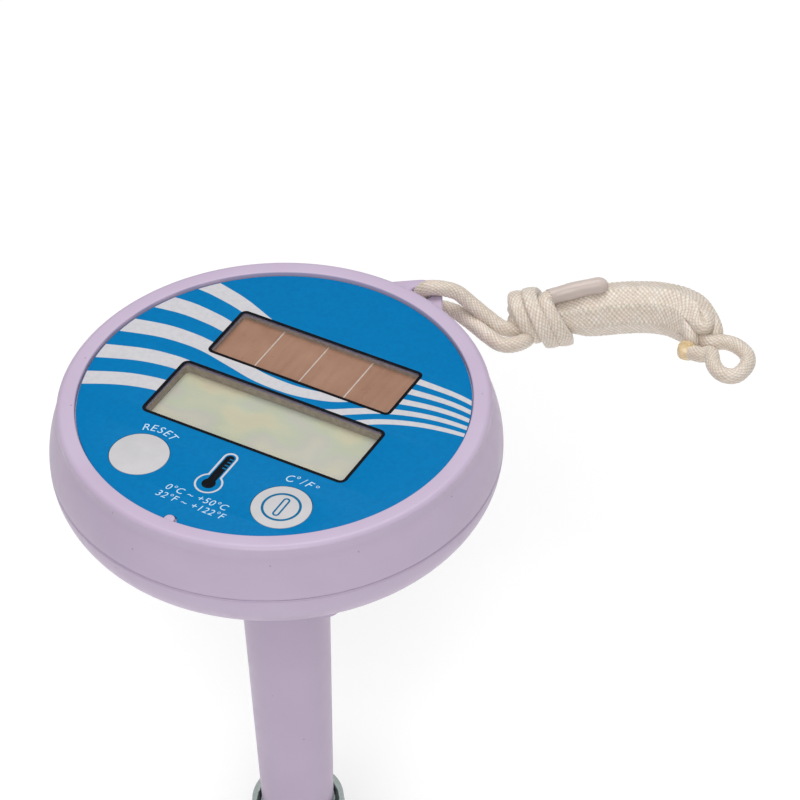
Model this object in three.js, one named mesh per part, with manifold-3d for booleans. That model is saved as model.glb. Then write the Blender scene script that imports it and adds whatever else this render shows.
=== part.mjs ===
// Floating solar pool thermometer: a round float head with a window panel, a weighted stem with
// the probe in a clear screw-on end cap, and a tether cord.
// Millimetres, +Z up. The origin is on the stem's axis at the waterline. +X runs along the
// panel's lettering and +Y points from the keys towards the tether lug.
import * as THREE from 'three';
import { mergeVertices } from 'three/addons/utils/BufferGeometryUtils.js';
import Module from 'manifold-3d';

const wasm = await Module();
wasm.setup();

// ---- driving dimensions -------------------------------------------------------------------
const GAP = 0.3;                 // clearance kept between touching pieces
const WIDE_ROUND = 40;           // segments of the head's round pieces
const ROUND = 24;                // segments of the stem's round pieces
const SMALL_ROUND = 12;          // segments of screws, wires and other small round pieces

const HEAD_RADIUS = 53.15;
const SEAM_Z = 2;                // joint between the two head shells
const SEAM_GAP = 0.6;
const RIM_TOP = 16;
const WALL = 2.2;
const BOWL_RADIUS = 14.2;        // round of the lower shell's side
const SIDE_RADIUS = 25;          // shallow curve of the upper shell's side
const EDGE_RADIUS = 1.6;         // round on the bezel's outer edge
const BEZEL_INNER_RADIUS = 46.3;

const LABEL_RADIUS = 46;
const LABEL_THICKNESS = 0.5;
const LABEL_TOP = 15;
const LABEL_BOTTOM = LABEL_TOP - LABEL_THICKNESS;
const DECK_TOP = LABEL_BOTTOM - GAP;
const DECK_THICKNESS = 2;
const DECK_BOTTOM = DECK_TOP - DECK_THICKNESS;
const PANEL_X = 1.1;             // the windows and keys sit this far off the head's centre line
const OUTLINE = 0.8;             // dark outline round a window

const SOLAR = { x: PANEL_X, y: 16.7, width: 49.7, height: 17.1, corner: 1.6 };
const DISPLAY = { x: PANEL_X, y: -6.76, width: 54.9, height: 20.3, corner: 1.8 };
const SOLAR_LEDGE = 0.6;
const SOLAR_CELL = { width: 50.5, height: 18.6, thickness: 1.4 };
const LCD = { width: 58, height: 24, thickness: 2.2 };
const LCD_HOLDER_WALL = 1.3;

const KEY_Y = -30;
const KEYS = { reset: -18, unit: 20 };
const KEY_RADIUS = 7;
const KEY_THICKNESS = 0.9;
const KEY_STEM_RADIUS = 2.2;
const KEY_CLEARANCE = 0.4;       // round each key and its stem
const KEY_POCKET_DEPTH = 0.9;
const TAB_RADIUS = 1.3;          // locating tab on the bezel that keys into the label
const TAB_REACH = 2;
const TAB_TOP = RIM_TOP - 0.4;

const LUG = { x: 7.4, y: 55.8, radius: 5.2, hole: 2.6, top: 10, bottom: 6 };

const BOARD_TOP = 7.7;
const BOARD_THICKNESS = 1.6;
const BOARD_BOTTOM = BOARD_TOP - BOARD_THICKNESS;
const BOARD_RADIUS = 39.8;
const BOARD_EDGE_Y = 5.5;        // the board's straight edge
const BOARD_SCREWS = [[-35, -8], [35, -8], [PANEL_X, -33]];
const SHELL_SCREW_RADIUS = 43.6;
const SHELL_SCREW_COUNT = 4;
const SCREW_SEAT_Z = -5;

const FLOOR_Z = SEAM_Z - BOWL_RADIUS;       // underside of the head
const STEM_TOP_RADIUS = 11.56;
const STEM_TAPER = 0.0236;                  // radius lost per millimetre going down
const STEM_WALL = 1.8;
const STEM_BOTTOM = -130;
const FLANGE = { radius: 16.5, thickness: 2 };
const GASKET_THICKNESS = 1;

const CAP_TOP = -116.3;
const CAP_BOTTOM = -156;
const CAP_NECK_RADIUS = 9.65;
const CAP_RADIUS = 13;
const CAP_HOLE_RADIUS = 3.5;
const CAP_SLOT = { count: 6, width: 2.6, top: -137, bottom: -149 };
const SEAL_Z = -119;
const SEAL = { ring: 9.95, section: 0.55 };

const BALLAST = { radius: 6.9, bore: 2.2, top: -86, bottom: -116 };
const PLUG = { radius: 6.7, top: -122, bottom: -129.7 };
const PROBE = { radius: 2.4, top: -118, bottom: -147 };
const LEAD_RADIUS = 0.6;
const WIRE_SIDES = 6;

const CORD_RADIUS = 1.75;
const CORD_SIDES = 8;
const SLEEVE_RADIUS = 1.9;
const HANK_HALF_WIDTH = 6;
const HANK_HEIGHT = 11;
const HANK_Z = 1;

// ---- looks --------------------------------------------------------------------------------
const finish = (color, roughness, metalness = 0) =>
  new THREE.MeshStandardMaterial({ color, roughness, metalness });
const LOOKS = {
  shell: finish(0xc4b4ca, 0.42),
  label: finish(0x0c77b0, 0.35),
  key: finish(0xd0ced0, 0.4),
  clear: new THREE.MeshStandardMaterial({
    color: 0xc9d2cf, roughness: 0.08, transparent: true, opacity: 0.35,
  }),
  cell: finish(0x7d5f52, 0.3),
  lcd: finish(0xc6c2ae, 0.25),
  frame: finish(0xe8e6e0, 0.6),
  rubber: finish(0x2a2a2c, 0.8),
  board: finish(0x1f6b3a, 0.5),
  resin: finish(0x17171a, 0.45),
  steel: finish(0xb9bcc0, 0.3, 1),
  redWire: finish(0xa81f1c, 0.5),
  blackWire: finish(0x1a1a1c, 0.5),
  cord: finish(0xddd3c8, 0.6),
  bead: finish(0xd8b98a, 0.2),
};

// ---- solids -------------------------------------------------------------------------------
function toSolid(geometry) {
  const bare = geometry.clone();
  bare.deleteAttribute('normal');
  bare.deleteAttribute('uv');
  const merged = mergeVertices(bare, 1e-4);
  const mesh = new wasm.Mesh({
    numProp: 3,
    vertProperties: new Float32Array(merged.attributes.position.array),
    triVerts: new Uint32Array(merged.index.array),
  });
  return new wasm.Manifold(mesh);
}

function toGeometry(solid) {
  const mesh = solid.getMesh();
  const geometry = new THREE.BufferGeometry();
  geometry.setAttribute('position', new THREE.BufferAttribute(mesh.vertProperties, 3));
  geometry.setIndex(new THREE.BufferAttribute(mesh.triVerts, 1));
  geometry.computeVertexNormals();
  return geometry;
}

// A solid of revolution about Z from [radius, z] points that start and end on the axis or close.
function lathe(points, segments = ROUND) {
  const profile = points.map(([r, z]) => new THREE.Vector2(r, z));
  return new THREE.LatheGeometry(profile, segments).rotateX(Math.PI / 2);
}

function disc(radius, bottom, top, segments = ROUND) {
  return lathe([[0, bottom], [radius, bottom], [radius, top], [0, top]], segments);
}

function ring(inner, outer, bottom, top, segments = ROUND) {
  const section = [[inner, bottom], [outer, bottom], [outer, top], [inner, top]];
  return lathe([...section, section[0]], segments);
}

function box(width, depth, bottom, top, x = 0, y = 0) {
  return new THREE.BoxGeometry(width, depth, top - bottom).translate(x, y, (top + bottom) / 2);
}

function roundedRectangle(width, height, corner, x = 0, y = 0) {
  const shape = new THREE.Shape();
  const right = x + width / 2;
  const left = x - width / 2;
  const top = y + height / 2;
  const bottom = y - height / 2;
  shape.absarc(right - corner, top - corner, corner, 0, Math.PI / 2);
  shape.absarc(left + corner, top - corner, corner, Math.PI / 2, Math.PI);
  shape.absarc(left + corner, bottom + corner, corner, Math.PI, 1.5 * Math.PI);
  shape.absarc(right - corner, bottom + corner, corner, 1.5 * Math.PI, 2 * Math.PI);
  shape.closePath();
  return shape;
}

function plate(shape, bottom, top, arcSides = 4) {
  const settings = { depth: top - bottom, bevelEnabled: false, curveSegments: arcSides / 2 };
  return new THREE.ExtrudeGeometry(shape, settings).translate(0, 0, bottom);
}

// A window's solid, grown or shrunk from its dark outline's outer edge.
function windowBlock(pane, grow, bottom, top) {
  const corner = Math.max(pane.corner + grow, 0.5);
  const shape = roundedRectangle(pane.width + 2 * grow, pane.height + 2 * grow, corner, pane.x, pane.y);
  return plate(shape, bottom, top);
}

// A round tube along a smooth curve through the given points.
function tube(points, radius, steps, sides = CORD_SIDES) {
  const path = new THREE.CatmullRomCurve3(points.map((p) => new THREE.Vector3(...p)), false, 'centripetal');
  const section = new THREE.Shape();
  section.absarc(0, 0, radius, 0, 2 * Math.PI);
  const settings = { steps, extrudePath: path, curveSegments: sides / 2, bevelEnabled: false };
  return new THREE.ExtrudeGeometry(section, settings);
}

function arcPoints(cx, cz, radius, from, to, steps) {
  return Array.from({ length: steps + 1 }, (_, i) => {
    const angle = THREE.MathUtils.degToRad(from + ((to - from) * i) / steps);
    return [cx + radius * Math.cos(angle), cz + radius * Math.sin(angle)];
  });
}

// Joins the extra solids to the base and then cuts the tools away.
function carve(base, cuts, joins = []) {
  let solid = toSolid(base);
  for (const geometry of joins) solid = solid.add(toSolid(geometry));
  for (const geometry of cuts) solid = solid.subtract(toSolid(geometry));
  return toGeometry(solid);
}

const object = new THREE.Group();

function addPiece(name, geometry, look, parent = object) {
  const mesh = new THREE.Mesh(geometry, LOOKS[look]);
  mesh.name = name;
  parent.add(mesh);
  return mesh;
}

const stemRadius = (z) => STEM_TOP_RADIUS - STEM_TAPER * (FLOOR_Z - z);

const shellScrewPlaces = Array.from({ length: SHELL_SCREW_COUNT }, (_, i) => {
  const angle = Math.PI / 4 + (2 * Math.PI * i) / SHELL_SCREW_COUNT;
  return [SHELL_SCREW_RADIUS * Math.cos(angle), SHELL_SCREW_RADIUS * Math.sin(angle)];
});

// ---- head ---------------------------------------------------------------------------------
const LIP_RADIUS = 50.3;         // outside of the lower shell's lip, which the upper shell covers
const BOSS_GAP_Z = SEAM_Z + SEAM_GAP / 2;

function upperShellBody() {
  const sideX = HEAD_RADIUS - SIDE_RADIUS;
  const side = arcPoints(sideX, BOSS_GAP_Z, SIDE_RADIUS, 0, 26, 4);
  const edgeX = side.at(-1)[0] - EDGE_RADIUS;
  const edge = arcPoints(edgeX, RIM_TOP - EDGE_RADIUS, EDGE_RADIUS, 32, 90, 3);
  const inside = LIP_RADIUS + GAP;
  return lathe([
    [0, DECK_BOTTOM], [inside - 2, DECK_BOTTOM], [inside, DECK_BOTTOM - 2], [inside, BOSS_GAP_Z],
    ...side, ...edge,
    [BEZEL_INNER_RADIUS, RIM_TOP], [BEZEL_INNER_RADIUS, DECK_TOP], [0, DECK_TOP],
  ], WIDE_ROUND);
}

// The tether lug is a broad ear: a ring whose flanks run out in straight lines to the shell.
function lugSolid() {
  const shape = new THREE.Shape();
  shape.moveTo(-8, 51);
  shape.absarc(LUG.x, LUG.y, LUG.radius, THREE.MathUtils.degToRad(125), THREE.MathUtils.degToRad(35), true);
  shape.lineTo(17.5, 48.6);
  shape.lineTo(15, 44);
  shape.lineTo(-6, 46.5);
  shape.closePath();
  return plate(shape, LUG.bottom, LUG.top, 12);
}

function upperHousing() {
  const tabY = TAB_REACH - TAB_RADIUS - BEZEL_INNER_RADIUS;
  const tab = disc(TAB_RADIUS, DECK_TOP - 1, TAB_TOP, SMALL_ROUND).translate(0, tabY, 0);
  const tabRoot = box(2 * TAB_RADIUS, TAB_REACH, DECK_TOP - 1, TAB_TOP, 0, tabY - TAB_REACH / 2);
  const shellBosses = shellScrewPlaces.map(([x, y]) =>
    disc(3.2, BOSS_GAP_Z + GAP, DECK_BOTTOM + 1, SMALL_ROUND).translate(x, y, 0));
  const boardBosses = BOARD_SCREWS.map(([x, y]) =>
    disc(2.8, BOARD_TOP + GAP, DECK_BOTTOM + 1, SMALL_ROUND).translate(x, y, 0));
  const lugRing = toSolid(lugSolid()).subtract(
    toSolid(disc(HEAD_RADIUS - 2.5, LUG.bottom - 1, LUG.top + 1, WIDE_ROUND)));
  const cuts = [
    disc(LUG.hole, LUG.bottom - 1, LUG.top + 1, SMALL_ROUND).translate(LUG.x, LUG.y, 0),
    windowBlock(SOLAR, -OUTLINE, DECK_BOTTOM - 1, DECK_TOP + 1),
    windowBlock(DISPLAY, -OUTLINE, DECK_BOTTOM - 1, DECK_TOP + 1),
    box(SOLAR_CELL.width + 2 * GAP, SOLAR_CELL.height + 2 * GAP, DECK_BOTTOM - 1,
      DECK_TOP - SOLAR_LEDGE, SOLAR.x, SOLAR.y),
    ...shellScrewPlaces.map(([x, y]) => disc(1.5, 0, DECK_BOTTOM - 1, SMALL_ROUND).translate(x, y, 0)),
    ...BOARD_SCREWS.map(([x, y]) => disc(1.3, 0, DECK_BOTTOM - 0.4, SMALL_ROUND).translate(x, y, 0)),
  ];
  for (const x of Object.values(KEYS)) {
    cuts.push(disc(KEY_RADIUS + KEY_CLEARANCE, DECK_TOP - KEY_POCKET_DEPTH, DECK_TOP + 1).translate(x, KEY_Y, 0));
    cuts.push(disc(KEY_STEM_RADIUS + KEY_CLEARANCE, DECK_BOTTOM - 1, DECK_TOP, SMALL_ROUND).translate(x, KEY_Y, 0));
  }
  return carve(upperShellBody(), cuts, [tab, tabRoot, toGeometry(lugRing), ...shellBosses, ...boardBosses]);
}

function lowerHousing() {
  const seamTop = SEAM_Z - SEAM_GAP / 2;
  const centre = HEAD_RADIUS - BOWL_RADIUS;
  const outside = arcPoints(centre, SEAM_Z, BOWL_RADIUS, -90, -1.2, 7);
  const inside = arcPoints(centre, SEAM_Z, BOWL_RADIUS - WALL, -20, -90, 4);
  const lipTop = SEAM_Z + 3;
  const collar = stemRadius(FLOOR_Z) + GAP;
  const body = lathe([
    [collar, FLOOR_Z - 5], [collar + 1.6, FLOOR_Z - 5], [collar + 3.4, FLOOR_Z],
    ...outside,
    [LIP_RADIUS, seamTop], [LIP_RADIUS, lipTop], [LIP_RADIUS - 1.7, lipTop],
    ...inside,
    [collar, FLOOR_Z + WALL], [collar, FLOOR_Z - 5],
  ], WIDE_ROUND);
  const groove = ring(LIP_RADIUS + 0.35, LIP_RADIUS + 1.9, seamTop - 1, seamTop + 1, WIDE_ROUND);
  const bosses = shellScrewPlaces.map(([x, y]) => disc(3.9, FLOOR_Z + 2, BOSS_GAP_Z, SMALL_ROUND).translate(x, y, 0));
  const holes = shellScrewPlaces.flatMap(([x, y]) => [
    disc(1.5, FLOOR_Z, SEAM_Z + 4, SMALL_ROUND).translate(x, y, 0),
    disc(3, FLOOR_Z - 2, SCREW_SEAT_Z, SMALL_ROUND).translate(x, y, 0),
  ]);
  return carve(body, [groove, ...holes], bosses);
}

function screw(headRadius, shaftRadius, headBottom, headTop, tip) {
  return lathe([
    [0, headBottom], [headRadius * 0.85, headBottom], [headRadius, headBottom + 0.5], [headRadius, headTop],
    [shaftRadius, headTop], [shaftRadius, tip - 1], [0, tip],
  ], SMALL_ROUND);
}

function buildHead() {
  addPiece('upper_housing', upperHousing(), 'shell');
  addPiece('lower_housing', lowerHousing(), 'shell');
  const sealTop = SEAM_Z - SEAM_GAP / 2 + GAP;
  addPiece('housing_seal', ring(LIP_RADIUS + 0.65, LIP_RADIUS + 1.6, sealTop - 0.9, sealTop, WIDE_ROUND), 'rubber');
  shellScrewPlaces.forEach(([x, y], i) => {
    const body = screw(2.6, 1.2, SCREW_SEAT_Z - 2.5, SCREW_SEAT_Z - GAP, 10.5);
    addPiece(`housing_screw_${i + 1}`, body, 'steel').position.set(x, y, 0);
  });
}

// ---- label, windows and keys --------------------------------------------------------------
function labelOverlay() {
  const notch = box(2 * (TAB_RADIUS + GAP), 2 * TAB_REACH, LABEL_BOTTOM - 1, LABEL_TOP + 1, 0, -LABEL_RADIUS);
  const cuts = [
    notch,
    windowBlock(SOLAR, 0, LABEL_BOTTOM - 1, LABEL_TOP + 1),
    windowBlock(DISPLAY, 0, LABEL_BOTTOM - 1, LABEL_TOP + 1),
    ...Object.values(KEYS).map((x) =>
      disc(KEY_RADIUS + GAP, LABEL_BOTTOM - 1, LABEL_TOP + 1).translate(x, KEY_Y, 0)),
  ];
  return carve(disc(LABEL_RADIUS, LABEL_BOTTOM, LABEL_TOP, WIDE_ROUND), cuts);
}

function keyCap() {
  const bottom = LABEL_TOP - KEY_THICKNESS;
  const stemBottom = DECK_BOTTOM + 0.2;
  return lathe([
    [0, stemBottom], [KEY_STEM_RADIUS, stemBottom], [KEY_STEM_RADIUS, bottom], [KEY_RADIUS, bottom],
    [KEY_RADIUS, LABEL_TOP], [0, LABEL_TOP],
  ]);
}

function buildPanel() {
  addPiece('label_overlay', labelOverlay(), 'label');
  addPiece('solar_window', windowBlock(SOLAR, -GAP, LABEL_BOTTOM, LABEL_TOP), 'clear');
  addPiece('display_window', windowBlock(DISPLAY, -GAP, LABEL_BOTTOM, LABEL_TOP), 'clear');
  for (const [name, x] of Object.entries(KEYS)) {
    addPiece(`${name}_button`, keyCap(), 'key').position.set(x, KEY_Y, 0);
  }
}

// ---- electronics --------------------------------------------------------------------------
const SWITCH = { size: 6, top: 11.2, well: 2, wellBottom: 9.1 };
const PLUNGER = { radius: 1.65, bottom: 9.9, top: 12.1 };

function circuitBoard() {
  const shape = new THREE.Shape();
  const half = Math.asin(BOARD_EDGE_Y / BOARD_RADIUS);
  shape.absarc(0, 0, BOARD_RADIUS, half, Math.PI - half, true);
  shape.closePath();
  const holes = BOARD_SCREWS.map(([x, y]) =>
    disc(1.5, BOARD_BOTTOM - 1, BOARD_TOP + 1, SMALL_ROUND).translate(x, y, 0));
  return carve(plate(shape, BOARD_BOTTOM, BOARD_TOP, WIDE_ROUND), holes);
}

function buildDisplay() {
  const bottom = BOARD_TOP + GAP;
  const lcdTop = DECK_BOTTOM - GAP;
  const inner = { width: LCD.width + 2 * GAP, height: LCD.height + 2 * GAP };
  const holder = carve(
    box(inner.width + 2 * LCD_HOLDER_WALL, inner.height + 2 * LCD_HOLDER_WALL, bottom, lcdTop, DISPLAY.x, DISPLAY.y),
    [box(inner.width, inner.height, bottom - 1, lcdTop + 1, DISPLAY.x, DISPLAY.y)],
  );
  addPiece('lcd_holder', holder, 'frame');
  addPiece('lcd_panel', box(LCD.width, LCD.height, lcdTop - LCD.thickness, lcdTop, DISPLAY.x, DISPLAY.y), 'lcd');
  for (const [side, sign] of [['upper', 1], ['lower', -1]]) {
    const strip = box(54, 1.8, bottom, lcdTop - LCD.thickness - GAP, DISPLAY.x, DISPLAY.y + sign * 10.4);
    addPiece(`zebra_connector_${side}`, strip, 'rubber');
  }
}

function buildSwitches() {
  for (const [name, x] of Object.entries(KEYS)) {
    const body = carve(
      box(SWITCH.size, SWITCH.size, BOARD_TOP + GAP, SWITCH.top),
      [disc(SWITCH.well, SWITCH.wellBottom, SWITCH.top + 1, SMALL_ROUND)],
    );
    addPiece(`${name}_switch`, body, 'resin').position.set(x, KEY_Y, 0);
    const plunger = disc(PLUNGER.radius, PLUNGER.bottom, PLUNGER.top, SMALL_ROUND);
    addPiece(`${name}_plunger`, plunger, 'frame').position.set(x, KEY_Y, 0);
  }
}

function buildElectronics() {
  const cellTop = DECK_TOP - SOLAR_LEDGE - GAP;
  const cell = box(SOLAR_CELL.width, SOLAR_CELL.height, cellTop - SOLAR_CELL.thickness, cellTop, SOLAR.x, SOLAR.y);
  addPiece('solar_cell', cell, 'cell');
  buildDisplay();
  buildSwitches();
  addPiece('circuit_board', circuitBoard(), 'board');
  BOARD_SCREWS.forEach(([x, y], i) => {
    const body = screw(2.4, 1, BOARD_BOTTOM - 1.9, BOARD_BOTTOM - GAP, DECK_BOTTOM - 0.9);
    addPiece(`board_screw_${i + 1}`, body, 'steel').position.set(x, y, 0);
  });
  const under = BOARD_BOTTOM - GAP;
  const blob = lathe([[0, under - 2.2], [4, under - 2], [6.5, under - 1], [7.5, under], [0, under]], ROUND);
  addPiece('controller_blob', blob, 'resin').position.set(-10, -14, 0);
  const crystal = new THREE.CylinderGeometry(1, 1, 6, SMALL_ROUND);
  addPiece('clock_crystal', crystal, 'steel').position.set(-22, -14, under - 1);
  addPiece('storage_capacitor', disc(5, under - 7, under, ROUND), 'resin').position.set(18, -16, 0);
}

// ---- wiring -------------------------------------------------------------------------------
function buildWiring() {
  const start = BOARD_BOTTOM - GAP;
  for (const [name, side, look] of [['red', 1, 'redWire'], ['black', -1, 'blackWire']]) {
    const x = side * 0.9;
    const drop = [
      [x, 0, FLOOR_Z - 4], [x, 0, -40], [x, 0, -70], [x, 0, -100], [x, 0, PROBE.top + GAP],
    ];
    const lead = tube([[x, -8, start], [x, -7.6, start - 3], [x, -3, -3], ...drop], LEAD_RADIUS, 14, WIRE_SIDES);
    addPiece(`sensor_lead_${name}`, lead, look);
    const y = SOLAR.y + 3 * side;
    const cellEdge = SOLAR.x + SOLAR_CELL.width / 2 - 2;
    const solarLead = tube([
      [cellEdge, y, 11.3], [cellEdge + 4, y, 10.2], [34.5 + side, 10 - side, 9.6],
      [35 + side, 4.5, 9.6], [35 + side, 2.5, 9.2], [35 + side, 2, BOARD_TOP + GAP],
    ], 0.5, 8, WIRE_SIDES);
    addPiece(`solar_lead_${name}`, solarLead, look);
  }
}

// ---- stem, probe and end cap --------------------------------------------------------------
function stemTube() {
  const flangeBottom = FLOOR_Z + WALL + GASKET_THICKNESS + 2 * GAP;
  const flangeTop = flangeBottom + FLANGE.thickness;
  const top = stemRadius(FLOOR_Z);
  const bottom = stemRadius(STEM_BOTTOM);
  return lathe([
    [bottom - STEM_WALL, STEM_BOTTOM], [bottom, STEM_BOTTOM], [top, FLOOR_Z], [top, flangeBottom],
    [FLANGE.radius, flangeBottom], [FLANGE.radius, flangeTop], [top - STEM_WALL, flangeTop],
    [bottom - STEM_WALL, STEM_BOTTOM],
  ]);
}

function buildStem() {
  addPiece('stem_tube', stemTube(), 'shell');
  const gasketBottom = FLOOR_Z + WALL + GAP;
  const inner = stemRadius(FLOOR_Z) + GAP;
  addPiece('stem_gasket', ring(inner, FLANGE.radius, gasketBottom, gasketBottom + GASKET_THICKNESS), 'rubber');
  addPiece('ballast_weight', ring(BALLAST.bore, BALLAST.radius, BALLAST.bottom, BALLAST.top), 'steel');
  addPiece('end_plug', ring(PROBE.radius + GAP, PLUG.radius, PLUG.bottom, PLUG.top), 'resin');
  const tip = arcPoints(0, PROBE.bottom + PROBE.radius, PROBE.radius, -90, 0, 4);
  addPiece('probe_sheath', lathe([...tip, [PROBE.radius, PROBE.top], [0, PROBE.top]], SMALL_ROUND), 'steel');
}

function endCap() {
  const shoulder = arcPoints(CAP_NECK_RADIUS, CAP_TOP - 2, 2, 80, 15, 2);
  const flank = [[12.1, -124], [CAP_RADIUS, -131]];
  const foot = arcPoints(CAP_RADIUS - 6, CAP_BOTTOM + 6, 6, 0, -90, 4);
  const body = lathe([
    [CAP_HOLE_RADIUS, CAP_BOTTOM], ...foot.reverse(), ...flank.reverse(), ...shoulder.reverse(),
    [CAP_NECK_RADIUS, CAP_TOP],
    [CAP_NECK_RADIUS, STEM_BOTTOM], [CAP_RADIUS - 2, STEM_BOTTOM - 2], [CAP_RADIUS - 2, CAP_BOTTOM + 7],
    [CAP_RADIUS - 3.4, CAP_BOTTOM + 3.2], [CAP_RADIUS - 5, CAP_BOTTOM + 2], [CAP_HOLE_RADIUS, CAP_BOTTOM + 2],
    [CAP_HOLE_RADIUS, CAP_BOTTOM],
  ]);
  const groove = ring(CAP_NECK_RADIUS - 1, SEAL.ring + SEAL.section + GAP, SEAL_Z - 0.9, SEAL_Z + 0.9);
  const slots = Array.from({ length: CAP_SLOT.count / 2 }, (_, i) =>
    box(CAP_SLOT.width, 3 * CAP_RADIUS, CAP_SLOT.bottom, CAP_SLOT.top)
      .rotateZ((Math.PI * i) / (CAP_SLOT.count / 2)));
  return carve(body, [groove, ...slots]);
}

function buildEndCap() {
  addPiece('end_cap', endCap(), 'clear');
  const section = arcPoints(SEAL.ring, SEAL_Z, SEAL.section, 0, 360, 6);
  section[section.length - 1] = section[0];
  addPiece('cap_seal', lathe(section), 'rubber');
}

// ---- tether cord --------------------------------------------------------------------------
const HANK_AXIS = new THREE.CubicBezierCurve3(
  new THREE.Vector3(31, 69.5, HANK_Z), new THREE.Vector3(42, 78, HANK_Z),
  new THREE.Vector3(58, 96, HANK_Z), new THREE.Vector3(69, 84, HANK_Z),
);
const UPPER_ROUTE = [
  [7.4, 55.8, 8.3], [7.5, 55.8, 10.2], [9.2, 56, 12], [11.2, 57, 12.1], [13.2, 58.4, 11.4],
  [15.3, 59.9, 10], [17.8, 60.6, 8.2], [20.8, 60.9, 6.4], [23.5, 61.2, 4.8], [26.2, 61.5, 3.3],
];
const LOWER_ROUTE = [
  [7.4, 55.8, 7.7], [7.4, 55.8, 5.4], [8.3, 57.6, 4], [9.9, 59.2, 3.8], [12, 59.9, 3.7],
  [14.9, 60.1, 3.3], [18.6, 59.1, 2.8], [22.3, 57.8, 2.3], [25.7, 56.7, 1.8], [28.8, 56.2, 1.4],
  [31.1, 57.6, 1.1], [32.6, 60.3, 0.7],
];
const LOOP_ROUTE = [
  [75.3, 83.3, 1], [78.5, 83.4, 1], [82.4, 81.5, 1], [84.1, 77.8, 1], [83.3, 73.3, 1],
  [80.1, 72.4, 1], [76.9, 74.6, 1], [74.4, 78.2, 1],
];
const SLEEVE_ROUTE = [[34, 70.9, 8.9], [38.8, 75.7, 8.9], [43.9, 80.6, 8.9]];
const BEAD = { x: 69.6, y: 75.1, z: 2.2, radius: 2.5 };

// A plain solid of the hank's outer shape: a curved bar with round ends.
function hankSolid() {
  const steps = 10;
  const left = [];
  const right = [];
  for (let i = 0; i <= steps; i += 1) {
    const point = HANK_AXIS.getPoint(i / steps);
    const along = HANK_AXIS.getTangent(i / steps);
    const side = new THREE.Vector2(-along.y, along.x).multiplyScalar(HANK_HALF_WIDTH);
    left.push(new THREE.Vector2(point.x + side.x, point.y + side.y));
    right.push(new THREE.Vector2(point.x - side.x, point.y - side.y));
  }
  const roundEnd = (at, sign) => {
    const point = HANK_AXIS.getPoint(at);
    const along = HANK_AXIS.getTangent(at).multiplyScalar(sign);
    const start = Math.atan2(along.y, along.x);
    return [60, 30, 0, -30, -60].map((turn) => {
      const angle = start + THREE.MathUtils.degToRad(turn);
      return new THREE.Vector2(
        point.x + HANK_HALF_WIDTH * Math.cos(angle), point.y + HANK_HALF_WIDTH * Math.sin(angle));
    });
  };
  const outline = new THREE.Shape([...left, ...roundEnd(1, 1), ...right.reverse(), ...roundEnd(0, -1)]);
  return plate(outline, HANK_Z - HANK_HEIGHT / 2, HANK_Z + HANK_HEIGHT / 2);
}

function buildCord() {
  addPiece('cord_upper_strand', tube(UPPER_ROUTE, CORD_RADIUS, 12), 'cord');
  addPiece('cord_lower_strand', tube(LOWER_ROUTE, CORD_RADIUS, 14), 'cord');
  addPiece('cord_hank', hankSolid(), 'cord');
  addPiece('cord_end_loop', tube(LOOP_ROUTE, CORD_RADIUS, 14), 'cord');
  const bead = addPiece('cord_end_bead', new THREE.SphereGeometry(BEAD.radius, 12, 8), 'bead');
  bead.position.set(BEAD.x, BEAD.y, BEAD.z);
  addPiece('cord_end_sleeve', tube(SLEEVE_ROUTE, SLEEVE_RADIUS, 6), 'clear');
}

buildHead();
buildPanel();
buildElectronics();
buildWiring();
buildStem();
buildEndCap();
buildCord();

export default object;
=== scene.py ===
"""Looks of the floating pool thermometer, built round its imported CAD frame.

Outlines, profiles and routes are written in millimetres in the CAD frame (+Z up, origin on the
stem's axis at the waterline) and become metres when a mesh is made.
"""
import math

import bmesh
import bpy
import numpy as np
from mathutils import Matrix, Quaternion, Vector


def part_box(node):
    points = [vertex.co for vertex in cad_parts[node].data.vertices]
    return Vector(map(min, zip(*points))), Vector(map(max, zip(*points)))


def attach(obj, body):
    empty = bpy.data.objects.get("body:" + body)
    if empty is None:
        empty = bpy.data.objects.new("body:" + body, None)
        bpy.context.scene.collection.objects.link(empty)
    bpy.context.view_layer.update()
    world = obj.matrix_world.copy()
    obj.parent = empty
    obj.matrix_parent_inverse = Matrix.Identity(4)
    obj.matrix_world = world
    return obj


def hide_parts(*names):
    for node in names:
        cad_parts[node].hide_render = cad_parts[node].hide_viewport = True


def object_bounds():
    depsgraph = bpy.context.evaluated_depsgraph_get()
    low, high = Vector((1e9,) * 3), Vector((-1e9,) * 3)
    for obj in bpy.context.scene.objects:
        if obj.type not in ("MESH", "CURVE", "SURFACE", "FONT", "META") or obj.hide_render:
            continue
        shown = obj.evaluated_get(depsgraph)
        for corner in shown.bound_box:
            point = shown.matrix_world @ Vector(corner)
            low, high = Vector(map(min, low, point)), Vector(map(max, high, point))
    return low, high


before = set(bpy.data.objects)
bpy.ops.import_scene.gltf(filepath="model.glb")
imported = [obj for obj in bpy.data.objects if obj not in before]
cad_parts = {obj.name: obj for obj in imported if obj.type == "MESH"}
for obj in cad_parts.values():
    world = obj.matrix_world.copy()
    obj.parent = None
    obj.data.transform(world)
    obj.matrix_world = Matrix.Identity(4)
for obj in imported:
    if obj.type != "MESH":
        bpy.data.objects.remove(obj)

CAD_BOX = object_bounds()
MM = 0.001

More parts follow.
